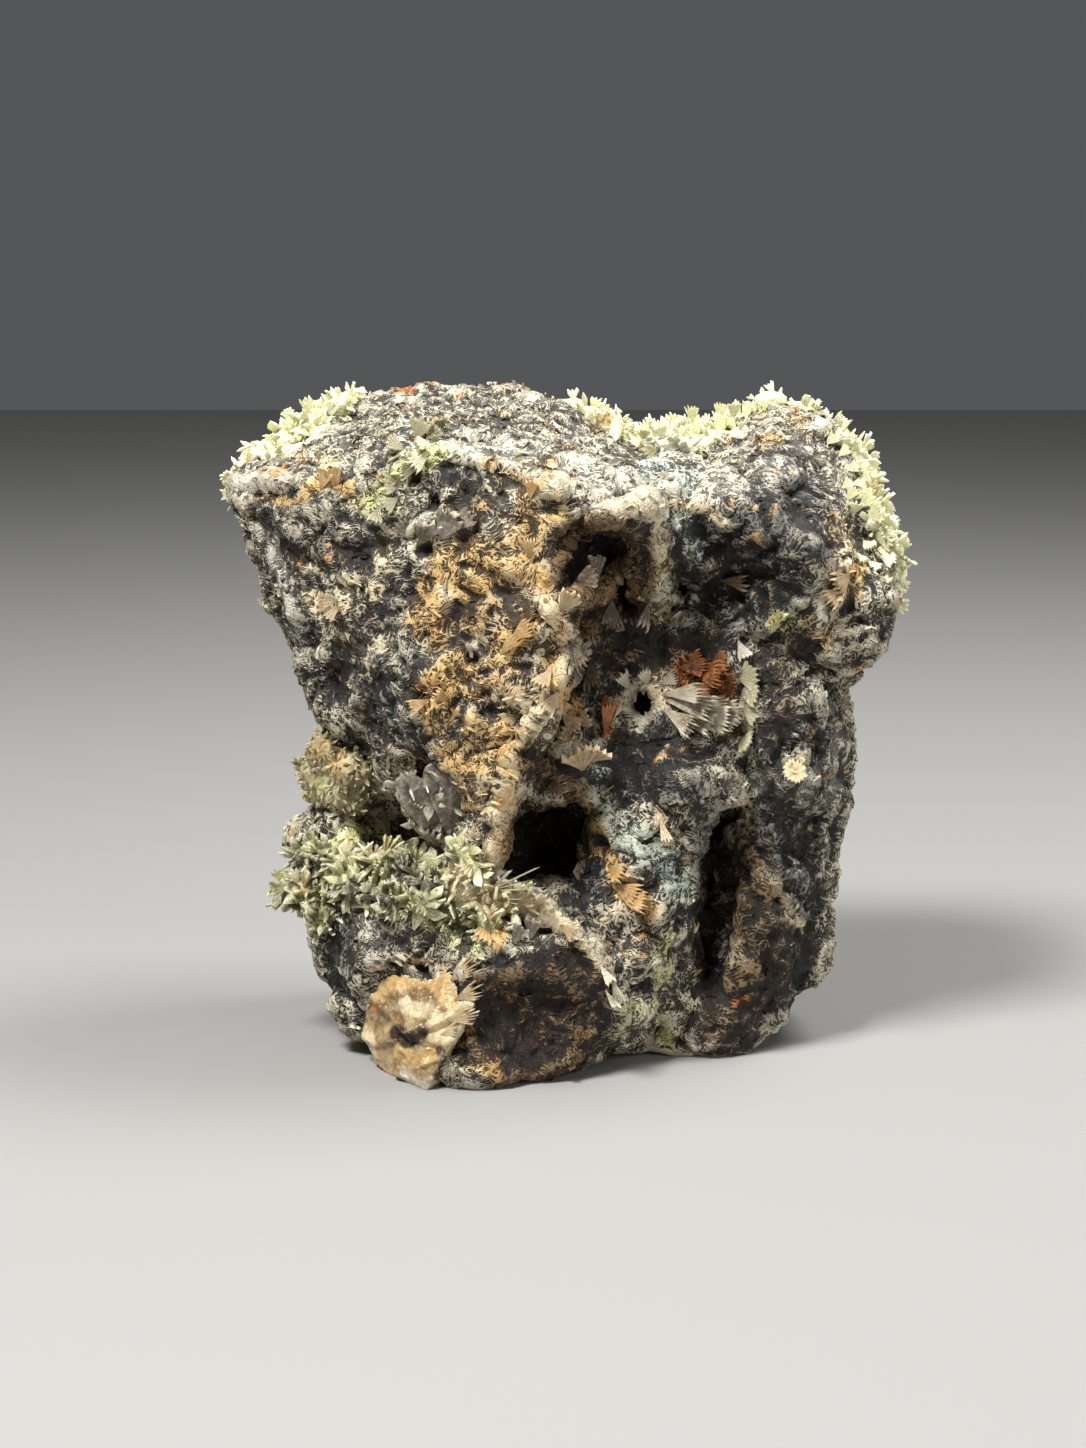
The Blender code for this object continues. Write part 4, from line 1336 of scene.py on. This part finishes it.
@dataclass
class Rock:
    """The block of rock: its carved and crumbled surface and the small flakes on it."""

    voxel: float = 0.62 * MM
    back_share: float = 0.42
    chip_size: float = 9.0 * MM
    chip_height: float = 1.25 * MM
    crumb_size: float = 3.2 * MM
    crumb_height: float = 0.78 * MM
    pit_size: float = 5.5 * MM
    pit_depth: float = 1.6 * MM
    hole_depth: float = 3.0 * MM
    grit_size: float = 1.5 * MM
    grit_height: float = 0.22 * MM
    warp_cell: float = 6.0 * MM
    warp_reach: float = 2.2 * MM
    blot_size: float = 18.0 * MM
    wander_pixels: float = 6.0
    noise: LatticeNoise = field(default_factory=lambda: LatticeNoise(3))
    strokes: tuple[Stroke, ...] = ROCK_STROKES
    dents: tuple[Dent, ...] = ROCK_DENTS
    zones: tuple[Zone, ...] = ROCK_ZONES

    def build(self) -> bpy.types.Object:
        """Makes the rock's own mesh, with its tints kept on it."""
        rock = remeshed_node("matrix", "rock", self.voxel)
        self.thin_back(rock)
        self.surface = Surface(rock.data)
        self.carve()
        self.crumble()
        self.paint()
        for polygon in rock.data.polygons:
            polygon.use_smooth = True
        self.object = rock
        return rock

    def thin_back(self, rock: bpy.types.Object) -> None:
        """Makes the faces larger where the specimen's back, underside and crust are."""
        surface = Surface(rock.data)
        away = (surface.normals[:, 1] > 0.25) | (surface.normals[:, 2] < -0.8)
        group = rock.vertex_groups.new(name="back")
        group.add(np.flatnonzero(away).tolist(), 1.0, "REPLACE")
        decimate = rock.modifiers.new("thin", "DECIMATE")
        decimate.vertex_group = group.name
        decimate.ratio = 1.0 - float(np.mean(away)) * (1.0 - self.back_share)
        bake_modifiers(rock)
        rock.vertex_groups.clear()

    def carve(self) -> None:
        """Raises the ridges and cuts the grooves and dents of the front."""
        surface = self.surface
        heights = np.zeros(len(surface.points))
        wander = self.wander_pixels * self.noise.at(surface.points / self.warp_cell)
        for stroke in self.strokes:
            gap = line_distance(surface.pixels, stroke.line) + np.abs(wander)
            heights += stroke.height * (1.0 - smooth_step(gap, 0.0, 1.6 * stroke.half_width))
        for dent in self.dents:
            heights -= dent.depth * dent.weight(surface.pixels)
        surface.push(heights * surface.facing)

    def crumble(self) -> None:
        """Breaks the surface up into chips, crumbs and pits."""
        surface = self.surface
        noise = self.noise
        warped = noise.warp(surface.points, self.warp_cell, self.warp_reach)
        heights = self.chip_height * noise.fractal(warped / self.chip_size, 3, ridged=True)
        heights += self.crumb_height * noise.fractal(warped / self.crumb_size, 3, ridged=True)
        spots = noise.pits(warped / self.pit_size)
        where = smooth_step(noise.at(surface.points / (12.0 * MM)), -0.2, 0.3)
        heights -= self.pit_depth * where * (1.0 - smooth_step(spots, 0.12, 0.34))
        standing = smooth_step(surface.points[:, 2], 0.2 * MM, 2.5 * MM)
        surface.push(heights * standing)
        grit = noise.fractal(surface.points / self.grit_size, 2)
        surface.push(self.grit_height * grit * standing)
        surface.points[:, 2] = np.maximum(surface.points[:, 2], 0.0)
        surface.refresh()

    def paint(self) -> None:
        """Keeps the ridges, the painted shade of the hollows and the tints on the mesh."""
        surface = self.surface
        surface.store("ridge", surface.bulge(6, 0.35 * MM))
        wide = surface.bulge(60, 2.4 * MM)
        covers = surface.store_zones(self.zones)
        # The hollow share is painted shade in concave places and deep holes. It is weaker where
        # pale, cream, green or brown zones lie.
        lifted = np.maximum.reduce([covers[tint] for tint in (Tint.PALE, Tint.CREAM, Tint.GREEN)])
        lifted = np.maximum(0.85 * lifted, 0.6 * covers[Tint.BROWN]).clip(0.0, 0.85)
        hollow = np.clip(-wide, 0.0, 0.8) * (1.0 - lifted)
        for dent in self.dents:
            if dent.depth > self.hole_depth:
                hollow = np.maximum(hollow, 1.4 * dent.weight(surface.pixels) * surface.facing)
        surface.store("hollow", hollow)
        surface.store("crest", surface.bulge(24, 0.9 * MM))
        # Upward-facing faces high on the rock are tinted pale, partly for the top's paler fibres
        # and partly as painted light from above.
        slope = smooth_step(surface.normals[:, 2], 0.25, 0.75)
        high = smooth_step(surface.points[:, 2], 76.0 * MM, 84.0 * MM)
        covers[Tint.PALE] = np.maximum(covers[Tint.PALE], 0.42 * slope * high)
        unseen = 1.0 - surface.facing
        patches = ((Tint.OCHRE, 0.0, 0.8), (Tint.PALE, 40.0, 0.7), (Tint.DARK, 80.0, 0.9))
        for tint, shift, strength in patches:
            blots = self.noise.fractal(surface.points / self.blot_size + shift, 4)
            blots = smooth_step(blots, 0.0, 0.5)
            covers[tint] = np.maximum(covers[tint], strength * blots * unseen)
        for tint, cover in covers.items():
            surface.store(tint.value, cover)
        shade = np.maximum(covers[Tint.DARK], covers[Tint.BROWN])
        bare = smooth_step(self.noise.fractal(surface.points / (5.0 * MM), 2), -0.35, 0.25)
        standing = smooth_step(surface.points[:, 2], 1.0 * MM, 3.5 * MM)
        lit = 1.0 - 0.6 * np.clip(shade, 0, 1)
        surface.store("curly", standing * (0.3 + 0.7 * surface.facing) * bare * lit)

    def flakes(self, material: bpy.types.Material) -> list[bpy.types.Object]:
        """Strews curled flakes over the rock.

        Args:
            material: The flakes' material.

        Returns:
            The pieces.
        """
        forms = ((0.16, 0.19), (-0.24, 0.21), (0.06, 0.16), (0.34, 0.19))
        pieces = []
        for number, (spacing, low, high) in enumerate(((1.1, 0.9, 2.0), (1.5, 1.6, 2.8))):
            shapes = [
                curl_shape(f"curl_{number}_{step}", bend, height, 0.13)
                for step, (bend, height) in enumerate(forms)
            ]
            scatter = Scatter(
                f"rock_flakes_{number + 1}", shapes, spacing * MM, low * MM, high * MM,
                tilt=0.5, flow=(5.0 + 3.0 * number) * MM, seed=11 + number, mask="curly",
            )
            pieces.append(scatter.build(self.object, material))
        return pieces


@dataclass
class CrystalPiece:
    """A crystal piece made from its solid: an even mesh with facets, and what is strewn on it."""

    node: str
    name: str
    finish: Selenite
    voxel: float
    facet_size: float
    facet_height: float
    seed: int
    zones: tuple[Zone, ...] = ()
    ridges: tuple[Stroke, ...] = ()
    blunt: float = 0.35

    def build(self) -> bpy.types.Object:
        """Makes the piece's mesh."""
        obj = remeshed_node(self.node, self.name, self.voxel)
        surface = Surface(obj.data)
        noise = LatticeNoise(self.seed)
        warped = noise.warp(surface.points, 2.0 * self.facet_size, 0.5 * self.facet_size)
        cells = noise.pits(warped / self.facet_size)
        heights = self.facet_height * (0.55 - cells)
        fine = noise.fractal(warped / (0.4 * self.facet_size), 2, ridged=True)
        heights += 0.35 * self.facet_height * fine
        for ridge in self.ridges:
            gap = line_distance(surface.pixels, ridge.line)
            weight = 1.0 - smooth_step(gap, 0.0, ridge.half_width)
            heights += ridge.height * weight * surface.facing
        standing = smooth_step(surface.points[:, 2], 0.0, 1.0 * MM)
        surface.push(heights * standing)
        surface.points[:, 2] = np.maximum(surface.points[:, 2], 0.0)
        surface.refresh()
        surface.store("ridge", surface.bulge(5, 0.25 * MM))
        # The hollow share gives the finish its painted shade in concave places.
        surface.store("hollow", np.clip(-surface.bulge(30, 1.4 * MM), 0.0, 1.0))
        for tint, cover in surface.store_zones(self.zones).items():
            if cover.any():
                surface.store(tint.value, cover)
        self.surface = surface
        self.object = obj
        self.material = self.finish.build()
        obj.data.materials.append(self.material)
        return obj

    def strew(
        self, spacing: float, size: tuple[float, float], tilt: float, fans: bool
    ) -> bpy.types.Object:
        """Strews blades, or fans and blades, over the piece.

        Args:
            spacing: Least distance between two of them.
            size: Shortest and longest.
            tilt: How far one may lean, in radians.
            fans: Whether most of them are ribbed fans.

        Returns:
            The new piece.
        """
        forms = ((0.62, 0.30, 0.12), (0.48, 0.28, -0.18), (0.75, 0.24, 0.2), (0.42, 0.34, 0.05))
        shapes = [
            blade_shape(f"{self.name}_blade_{step}", width, thickness, slant, self.blunt)
            for step, (width, thickness, slant) in enumerate(forms)
        ]
        if fans:
            rows = (0.1, 0.6, 1.0)
            fan_forms = ((0.9, 3, 0.1), (1.3, 4, 0.2), (0.7, 3, -0.1))
            shapes = shapes[:3] + [
                fan_shape(f"{self.name}_fan_{step}", Fan(spread, ribs, 0.13, cup, 0.2, rows, step))
                for step, (spread, ribs, cup) in enumerate(fan_forms)
            ]
        scatter = Scatter(
            f"{self.name}_blades", shapes, spacing, *size, tilt,
            flow=9.0 * MM, seed=self.seed, swirl=14.0,
        )
        return scatter.build(self.object, self.material)


@dataclass
class Studio:
    """A plain pale floor and soft light from the upper left."""

    floor_size: float = 3.0
    floor_colour: Colour = (0.33, 0.325, 0.31)

    def build(self) -> None:
        """Adds the floor, the lamps and the surrounding light."""
        bm = bmesh.new()
        bmesh.ops.create_grid(bm, x_segments=1, y_segments=1, size=self.floor_size / 2)
        mesh = bpy.data.meshes.new("floor")
        bm.to_mesh(mesh)
        bm.free()
        floor = bpy.data.objects.new("floor", mesh)
        bpy.context.scene.collection.objects.link(floor)
        material, _, shader = new_material("studio_floor")
        shader.inputs["Base Color"].default_value = (*self.floor_colour, 1.0)
        shader.inputs["Roughness"].default_value = 0.7
        mesh.materials.append(material)
        self.lamp("key", (-0.25, -0.30, 0.65), 0.20, 8.5)
        self.lamp("top", (0.30, 0.10, 0.60), 0.30, 3.8)
        self.lamp("fill", (0.55, -0.50, 0.25), 0.50, 1.7)
        world = bpy.data.worlds.new("studio")
        world.use_nodes = True
        world.node_tree.nodes["Background"].inputs[0].default_value = (0.9, 0.92, 0.95, 1.0)
        world.node_tree.nodes["Background"].inputs[1].default_value = 0.10
        bpy.context.scene.world = world
        bpy.context.scene.view_settings.view_transform = "Standard"

    @staticmethod
    def lamp(name: str, place: tuple[float, float, float], size: float, power: float) -> None:
        """Adds a square soft lamp that points at the specimen.

        Args:
            name: The lamp's name.
            place: Where it stands.
            size: Side of the lamp.
            power: Its power in watts.
        """
        data = bpy.data.lights.new(name, "AREA")
        data.size = size
        data.energy = power
        lamp = bpy.data.objects.new(name, data)
        lamp.location = place
        aim = Vector((0.0, 0.0, 0.05)) - Vector(place)
        lamp.rotation_euler = aim.to_track_quat("-Z", "Y").to_euler()
        bpy.context.scene.collection.objects.link(lamp)


CRUST = Selenite("pale_green_selenite", (0.74, 0.72, 0.42), (0.93, 0.91, 0.70), (0.40, 0.37, 0.15))
VEIN = Selenite(
    "yellow_green_selenite", (0.46, 0.45, 0.17), (0.90, 0.86, 0.56), (0.055, 0.055, 0.022), 0.7
)
WHITE = Selenite("white_selenite", (0.46, 0.39, 0.28), (0.84, 0.78, 0.62), (0.10, 0.06, 0.03), 0.4)
STAR = Selenite("cream_rosette", (0.74, 0.60, 0.34), (0.90, 0.80, 0.56), (0.38, 0.24, 0.09), 0.1)
HONEY = Selenite(
    "honey_selenite", (0.40, 0.28, 0.13), (0.74, 0.60, 0.37), (0.17, 0.085, 0.026),
    stain_share=0.6, roughness=0.22, subsurface=0.3, transmission=0.1,
)
CREAM = Selenite(
    "cream_selenite", (0.33, 0.27, 0.13), (0.62, 0.55, 0.35), (0.12, 0.09, 0.04),
    stain_share=0.5, roughness=0.38, subsurface=0.3, transmission=0.05,
)
CLEAR = Selenite(
    "clear_selenite", (0.40, 0.33, 0.26), (0.84, 0.75, 0.61), (0.09, 0.068, 0.05),
    stain_share=0.7, roughness=0.2, subsurface=0.3, transmission=0.15,
)
RUSTY = Selenite(
    "rust_selenite", (0.30, 0.085, 0.02), (0.60, 0.25, 0.07), (0.035, 0.012, 0.005), 0.5
)
UMBER = Selenite(
    "brown_selenite", (0.075, 0.048, 0.026), (0.29, 0.21, 0.125), (0.014, 0.009, 0.006), 0.5
)
SHELL = Selenite(
    "shell_selenite", (0.50, 0.36, 0.20), (0.82, 0.69, 0.46), (0.13, 0.075, 0.03), 0.35
)
MINT = Selenite(
    "mint_selenite", (0.46, 0.42, 0.25), (0.80, 0.75, 0.55), (0.16, 0.13, 0.06),
    stain_share=0.35, roughness=0.26, subsurface=0.3, transmission=0.15,
)
AMBER = Selenite(
    "amber_selenite", (0.60, 0.36, 0.13), (0.90, 0.70, 0.40), (0.10, 0.042, 0.014), 0.4
)

CRUST_ZONES = zones({
    Tint.TEAL: (
        (22, 0.7, ((650, 445), (680, 450))),
    ),
    Tint.CREAM: (
        (10, 0.9, ((232, 442), (246, 450))),
    ),
    Tint.OCHRE: (
        (8, 1.0, ((395, 386), (412, 384))),
        (8, 1.0, ((868, 488), (870, 502))),
        (8, 0.6, ((696, 404), (716, 404))),
        (16, 0.8, ((842, 540), (855, 580))),
        (10, 0.5, ((590, 415), (615, 425))),
    ),
})
VEIN_ZONES = zones({
    Tint.DARK: (
        (16, 1.0, ((400, 872), (440, 885))),
        (12, 0.9, ((350, 890), (390, 905))),
    ),
    Tint.CREAM: (
        (24, 1.1, ((465, 880), (505, 905))),
        (10, 0.8, ((340, 860), (375, 850))),
    ),
    Tint.OCHRE: (
        (10, 0.7, ((500, 915), (520, 925))),
        (10, 0.5, ((365, 845), (395, 845))),
        (8, 0.6, ((300, 880), (305, 895))),
    ),
})
HONEY_ZONES = zones({
    Tint.PALE: (
        (11, 0.7, ((404, 1075), (418, 1088), (430, 1080))),
    ),
    Tint.DARK: (
        (5, 1.4, ((402, 1034), (412, 1040))),
    ),
    Tint.CREAM: (
        (14, 1.2, ((458, 968), (464, 1000), (452, 1030))),
        (10, 1.0, ((404, 1006), (428, 1012), (440, 1028))),
        (8, 0.8, ((366, 1030), (372, 1050))),
    ),
    Tint.OCHRE: (
        (13, 1.3, ((382, 990), (400, 978), (440, 976), (448, 998))),
        (9, 1.3, ((400, 1052), (416, 1060), (436, 1054))),
    ),
    Tint.BROWN: (
        (6, 1.5, ((370, 985), (380, 974), (392, 968), (430, 962))),
        (9, 1.5, ((397, 1032), (408, 1040), (420, 1034))),
        (5, 1.1, ((440, 1050), (446, 1064), (436, 1076))),
    ),
    Tint.RUST: (
        (4, 0.9, ((366, 1000), (374, 1010))),
    ),
})
HONEY_RIDGES = strokes(
    (7, 0.7, ((410, 1034), (384, 1008), (374, 994))),
    (7, 0.6, ((412, 1030), (404, 1006), (400, 984))),
    (7, 0.7, ((416, 1030), (432, 1004), (440, 976))),
    (7, 0.7, ((418, 1032), (444, 1020), (466, 1004))),
    (7, 0.5, ((418, 1038), (440, 1044), (452, 1040))),
    (7, 0.7, ((406, 1042), (398, 1060), (404, 1084))),
    (7, 0.6, ((400, 1038), (378, 1044), (366, 1036))),
    (6, 0.5, ((424, 1064), (440, 1058), (446, 1046))),
    (11, -0.8, ((400, 1036), (410, 1042), (420, 1036))),
    (7, -0.5, ((388, 1026), (392, 1000))),
    (7, -0.5, ((420, 1020), (424, 990))),
    (6, -0.4, ((432, 1032), (454, 1026))),
)
CREAM_ZONES = zones({
    Tint.GREEN: (
        (10, 0.6, ((315, 785), (330, 782))),
    ),
    Tint.OCHRE: (
        (14, 0.6, ((325, 750), (340, 765))),
    ),
    Tint.BROWN: (
        (8, 1.0, ((330, 722), (338, 746))),
    ),
})

POCKET_FANS = FanGroup("pocket", WHITE, spots(
    (662, 694, 0, 7.4, 26, 7), (664, 700, -14, 7.6, 30, 7), (664, 710, -30, 6.0, 34, 7),
    (684, 702, -2, 6.4, 32, 7), (690, 710, -14, 6.4, 40, 8), (684, 720, -24, 4.8, 46, 7),
    (708, 708, -4, 4.8, 50, 8), (710, 722, -14, 4.4, 50, 7), (660, 684, 24, 3.2, 44, 6),
    (648, 686, 110, 2.6, 50, 5), (738, 640, -70, 3.4, 44, 4), (744, 636, -20, 2.6, 60, 4),
    (672, 716, -40, 4.4, 40, 6), (630, 690, 130, 3.0, 50, 5), (626, 706, 190, 3.0, 50, 5),
))
FAN_GROUPS = (
    FanGroup("rust_fans", RUSTY, spots(
        (678, 668, -4, 4.6, 40, 7, 34), (696, 674, -6, 5.0, 50, 8, 34),
        (708, 668, 6, 4.0, 60, 7, 34), (712, 684, -16, 3.8, 60, 7, 34),
        (694, 688, -12, 3.4, 50, 6, 34), (686, 664, 25, 3.2, 40, 5, 34),
        (604, 738, 86, 5.6, 22, 4), (608, 730, 78, 4.6, 20, 4),
    )),
    FanGroup("scalloped_edge", MINT, spots(
        (738, 678, 10, 3.0, 110, 7), (741, 694, 0, 3.0, 110, 7), (742, 710, -4, 2.8, 110, 7),
        (741, 726, -10, 2.6, 110, 7), (738, 740, -30, 2.4, 110, 6), (776, 632, 60, 3.0, 70, 4),
        (436, 446, 195, 3.4, 54, 5), (428, 456, 220, 3.4, 50, 5), (420, 466, 190, 3.2, 50, 5),
        (412, 476, 215, 3.4, 50, 5), (404, 486, 180, 3.2, 60, 5), (398, 498, 215, 3.0, 60, 5),
        (440, 436, 100, 3.0, 60, 5), (416, 440, 70, 3.2, 70, 5), (404, 450, 150, 2.8, 60, 5),
        (426, 440, 40, 3.0, 60, 4), (380, 506, 250, 3.0, 50, 4), (612, 978, -80, 4.2, 30, 3),
        (600, 965, -60, 3.6, 30, 3), (605, 990, -65, 3.6, 24, 2),
    )),
    FanGroup("cave_fans", UMBER, spots(
        (622, 600, -62, 4.8, 56, 6), (612, 600, -100, 4.2, 60, 6), (636, 600, -40, 3.6, 50, 5),
        (572, 584, 20, 4.0, 60, 5), (596, 585, 95, 4.4, 40, 4), (650, 598, -110, 5.0, 24, 3),
        (735, 590, 25, 5.0, 36, 5), (720, 580, 5, 5.0, 30, 4), (700, 690, 230, 3.0, 60, 5),
        (568, 640, -60, 4.4, 40, 5), (590, 660, -80, 4.4, 40, 5), (545, 790, 20, 4.4, 40, 5),
    )),
    FanGroup("shell_fans", SHELL, spots(
        (583, 770, 104, 5.4, 70, 5, 40, 0.3), (590, 762, 70, 4.4, 60, 4, 40, 0.3),
        (572, 742, 150, 3.0, 60, 4), (660, 818, -78, 4.2, 26, 4), (640, 606, 60, 2.6, 60, 4),
        (338, 600, 185, 3.6, 50, 4), (340, 606, 215, 3.0, 50, 4), (560, 612, 60, 3.4, 70, 5),
        (590, 598, 170, 3.4, 60, 4), (512, 902, 20, 3.4, 60, 4), (530, 905, 0, 3.0, 60, 4),
        (560, 925, -20, 3.4, 50, 4), (850, 575, 200, 4.4, 60, 6), (845, 590, 215, 4.0, 50, 6),
        (552, 668, 250, 4.4, 40, 5), (560, 690, 230, 4.0, 40, 5), (520, 716, 200, 3.0, 60, 4),
        (536, 706, 20, 3.0, 60, 4), (562, 715, -40, 3.4, 60, 5), (575, 725, 20, 3.0, 60, 4),
        (450, 980, 28, 4.6, 40, 7, 20, 0.1, 0.25), (454, 1000, 20, 4.2, 40, 7, 20, 0.1, 0.25),
        (446, 1020, 12, 4.0, 40, 7, 20, 0.1, 0.25), (440, 1035, 15, 3.0, 40, 6, 20, 0.1, 0.25),
    )),
    FanGroup("grey_fans", CLEAR, spots(
        (420, 545, 80, 4.6, 60, 4), (440, 540, 60, 4.6, 60, 4), (455, 530, 40, 4.0, 50, 4),
        (412, 540, 130, 3.6, 50, 4), (512, 945, 60, 3.4, 50, 3), (530, 940, 80, 3.4, 50, 3),
        (545, 930, 20, 2.6, 50, 3), (430, 845, 70, 4.4, 50, 4), (445, 830, 110, 4.0, 50, 4),
    )),
    FanGroup("amber_fans", AMBER, spots(
        (608, 866, -30, 3.6, 60, 6), (612, 885, -20, 4.6, 50, 7), (620, 898, -12, 4.6, 46, 7),
        (632, 905, 5, 3.4, 46, 5), (320, 490, 60, 3.4, 50, 4), (338, 488, 110, 3.4, 50, 4),
        (530, 500, 80, 3.0, 40, 4), (488, 925, 240, 3.0, 60, 4), (530, 560, 100, 3.4, 40, 5),
        (510, 640, 30, 4.4, 40, 6), (500, 655, 45, 4.0, 36, 5), (450, 700, 150, 3.6, 40, 5),
        (430, 700, 200, 3.6, 40, 5), (575, 708, 170, 3.6, 40, 4),
    )),
    FanGroup("crest_fans", CRUST, spots(
        (688, 436, 120, 2.8, 50, 5), (694, 424, 100, 2.8, 50, 5), (706, 420, 95, 3.0, 54, 6),
        (720, 420, 85, 2.8, 54, 6), (734, 420, 95, 2.7, 54, 6), (748, 416, 85, 2.5, 54, 6),
        (762, 414, 75, 2.3, 54, 5), (664, 440, 110, 2.3, 60, 5), (645, 442, 100, 2.2, 60, 5),
        (866, 520, 20, 3.4, 60, 7), (872, 534, 0, 3.6, 60, 7), (876, 548, -20, 3.3, 60, 7),
        (860, 508, 50, 2.8, 60, 6), (852, 516, 80, 2.3, 60, 6), (862, 540, -60, 2.5, 60, 6),
        (256, 440, 120, 2.3, 60, 5), (272, 432, 100, 2.5, 60, 5), (290, 424, 100, 2.5, 60, 5),
        (308, 414, 95, 2.5, 60, 5), (324, 404, 90, 2.5, 60, 5), (338, 396, 80, 2.3, 60, 5),
        (248, 452, 160, 2.2, 60, 5), (240, 446, 200, 1.9, 70, 5), (826, 444, 40, 2.2, 60, 5),
        (838, 456, 30, 2.2, 60, 5), (846, 470, 20, 2.2, 60, 5), (852, 484, 10, 2.3, 60, 5),
        (858, 498, 30, 2.5, 60, 5), (880, 526, 40, 2.5, 60, 5), (884, 540, 10, 2.7, 60, 5),
        (880, 556, -30, 2.5, 60, 5), (868, 560, -50, 2.3, 60, 5), (848, 500, 60, 2.2, 60, 5),
        (842, 488, 40, 2.0, 60, 5), (856, 552, -80, 2.3, 60, 5),
    )),
    FanGroup("rosette_fans", STAR, spots(
        (795, 771, 10, 1.8, 70, 3, 15, -0.2), (795, 771, 70, 1.7, 70, 3, 20, -0.2),
        (795, 771, 130, 1.8, 70, 3, 15, -0.2), (795, 771, 190, 1.8, 70, 3, 20, -0.2),
        (795, 771, 250, 1.7, 70, 3, 15, -0.2), (795, 771, 310, 1.8, 70, 3, 20, -0.2),
    )),
    FanGroup("needles", MINT, spots(
        (492, 890, 20, 4.8, 44, 5, 30, 0.0, 0.9), (486, 878, 50, 3.6, 44, 5, 30, 0.0, 0.9),
        (480, 870, 80, 3.2, 40, 4, 30, 0.0, 0.9), (497, 900, 5, 3.0, 44, 4, 30, 0.0, 0.9),
    )),
)


def ride(piece: bpy.types.Object, node: str, replaces: bool = False) -> None:
    """Makes a piece part of the specimen.

    Args:
        piece: The finished piece.
        node: The solid that it belongs to.
        replaces: Whether it stands for the solid.
    """
    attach(piece, "root")
    if replaces:
        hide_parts(node)
    report_piece(piece)


def main() -> None:
    """Builds the specimen's pieces in order, then the studio."""
    logging.basicConfig(level=logging.INFO, format="%(name)s: %(message)s")
    rock_finish = FibrousRock("fibrous_rock").build()
    flake_finish = FibrousRock("rock_curls", extra_cover=0.18).build()
    rock = Rock()
    block = rock.build()
    block.data.materials.append(rock_finish)
    for flakes in rock.flakes(flake_finish):
        ride(flakes, "matrix")
    ride(block, "matrix", replaces=True)

    crust = CrystalPiece(
        "selenite_crust", "crust", CRUST, voxel=0.5 * MM, facet_size=3.0 * MM,
        facet_height=0.6 * MM, seed=21, zones=CRUST_ZONES,
    )
    vein = CrystalPiece(
        "vein_crust", "vein", VEIN, voxel=0.35 * MM, facet_size=2.4 * MM,
        facet_height=0.5 * MM, seed=22, zones=VEIN_ZONES,
    )
    star = CrystalPiece(
        "rosette", "star", STAR, voxel=0.1 * MM, facet_size=0.9 * MM,
        facet_height=0.12 * MM, seed=24,
    )
    honey = CrystalPiece(
        "honey_crystal", "honey", HONEY, voxel=0.25 * MM, facet_size=4.4 * MM,
        facet_height=0.8 * MM, seed=25, zones=HONEY_ZONES, ridges=HONEY_RIDGES,
    )
    cream = CrystalPiece(
        "cream_crystals", "cream", CREAM, voxel=0.25 * MM, facet_size=3.2 * MM,
        facet_height=0.6 * MM, seed=26, zones=CREAM_ZONES,
    )
    clear = CrystalPiece(
        "clear_blades", "glassy", CLEAR, voxel=0.2 * MM, facet_size=2.6 * MM,
        facet_height=0.35 * MM, seed=27,
    )
    for piece in (crust, vein, star, honey, cream, clear):
        ride(piece.build(), piece.node, replaces=True)
    strewn = (
        (crust, crust.strew(1.32 * MM, (1.0 * MM, 2.2 * MM), 0.45, True)),
        (vein, vein.strew(1.0 * MM, (1.2 * MM, 2.5 * MM), 0.7, True)),
        (cream, cream.strew(0.9 * MM, (0.6 * MM, 1.3 * MM), 1.0, False)),
        (clear, clear.strew(1.6 * MM, (1.0 * MM, 2.1 * MM), 0.6, True)),
    )
    for owner, blades in strewn:
        ride(blades, owner.node)
    trees = [piece.surface.tree() for piece in (rock, honey, vein, crust, star)]
    ride(POCKET_FANS.build(trees), "pocket_spray", replaces=True)
    for group in FAN_GROUPS:
        ride(group.build(trees), "matrix")

    Studio().build()
    VIEW.place_camera()


if __name__ == "__main__":
    main()
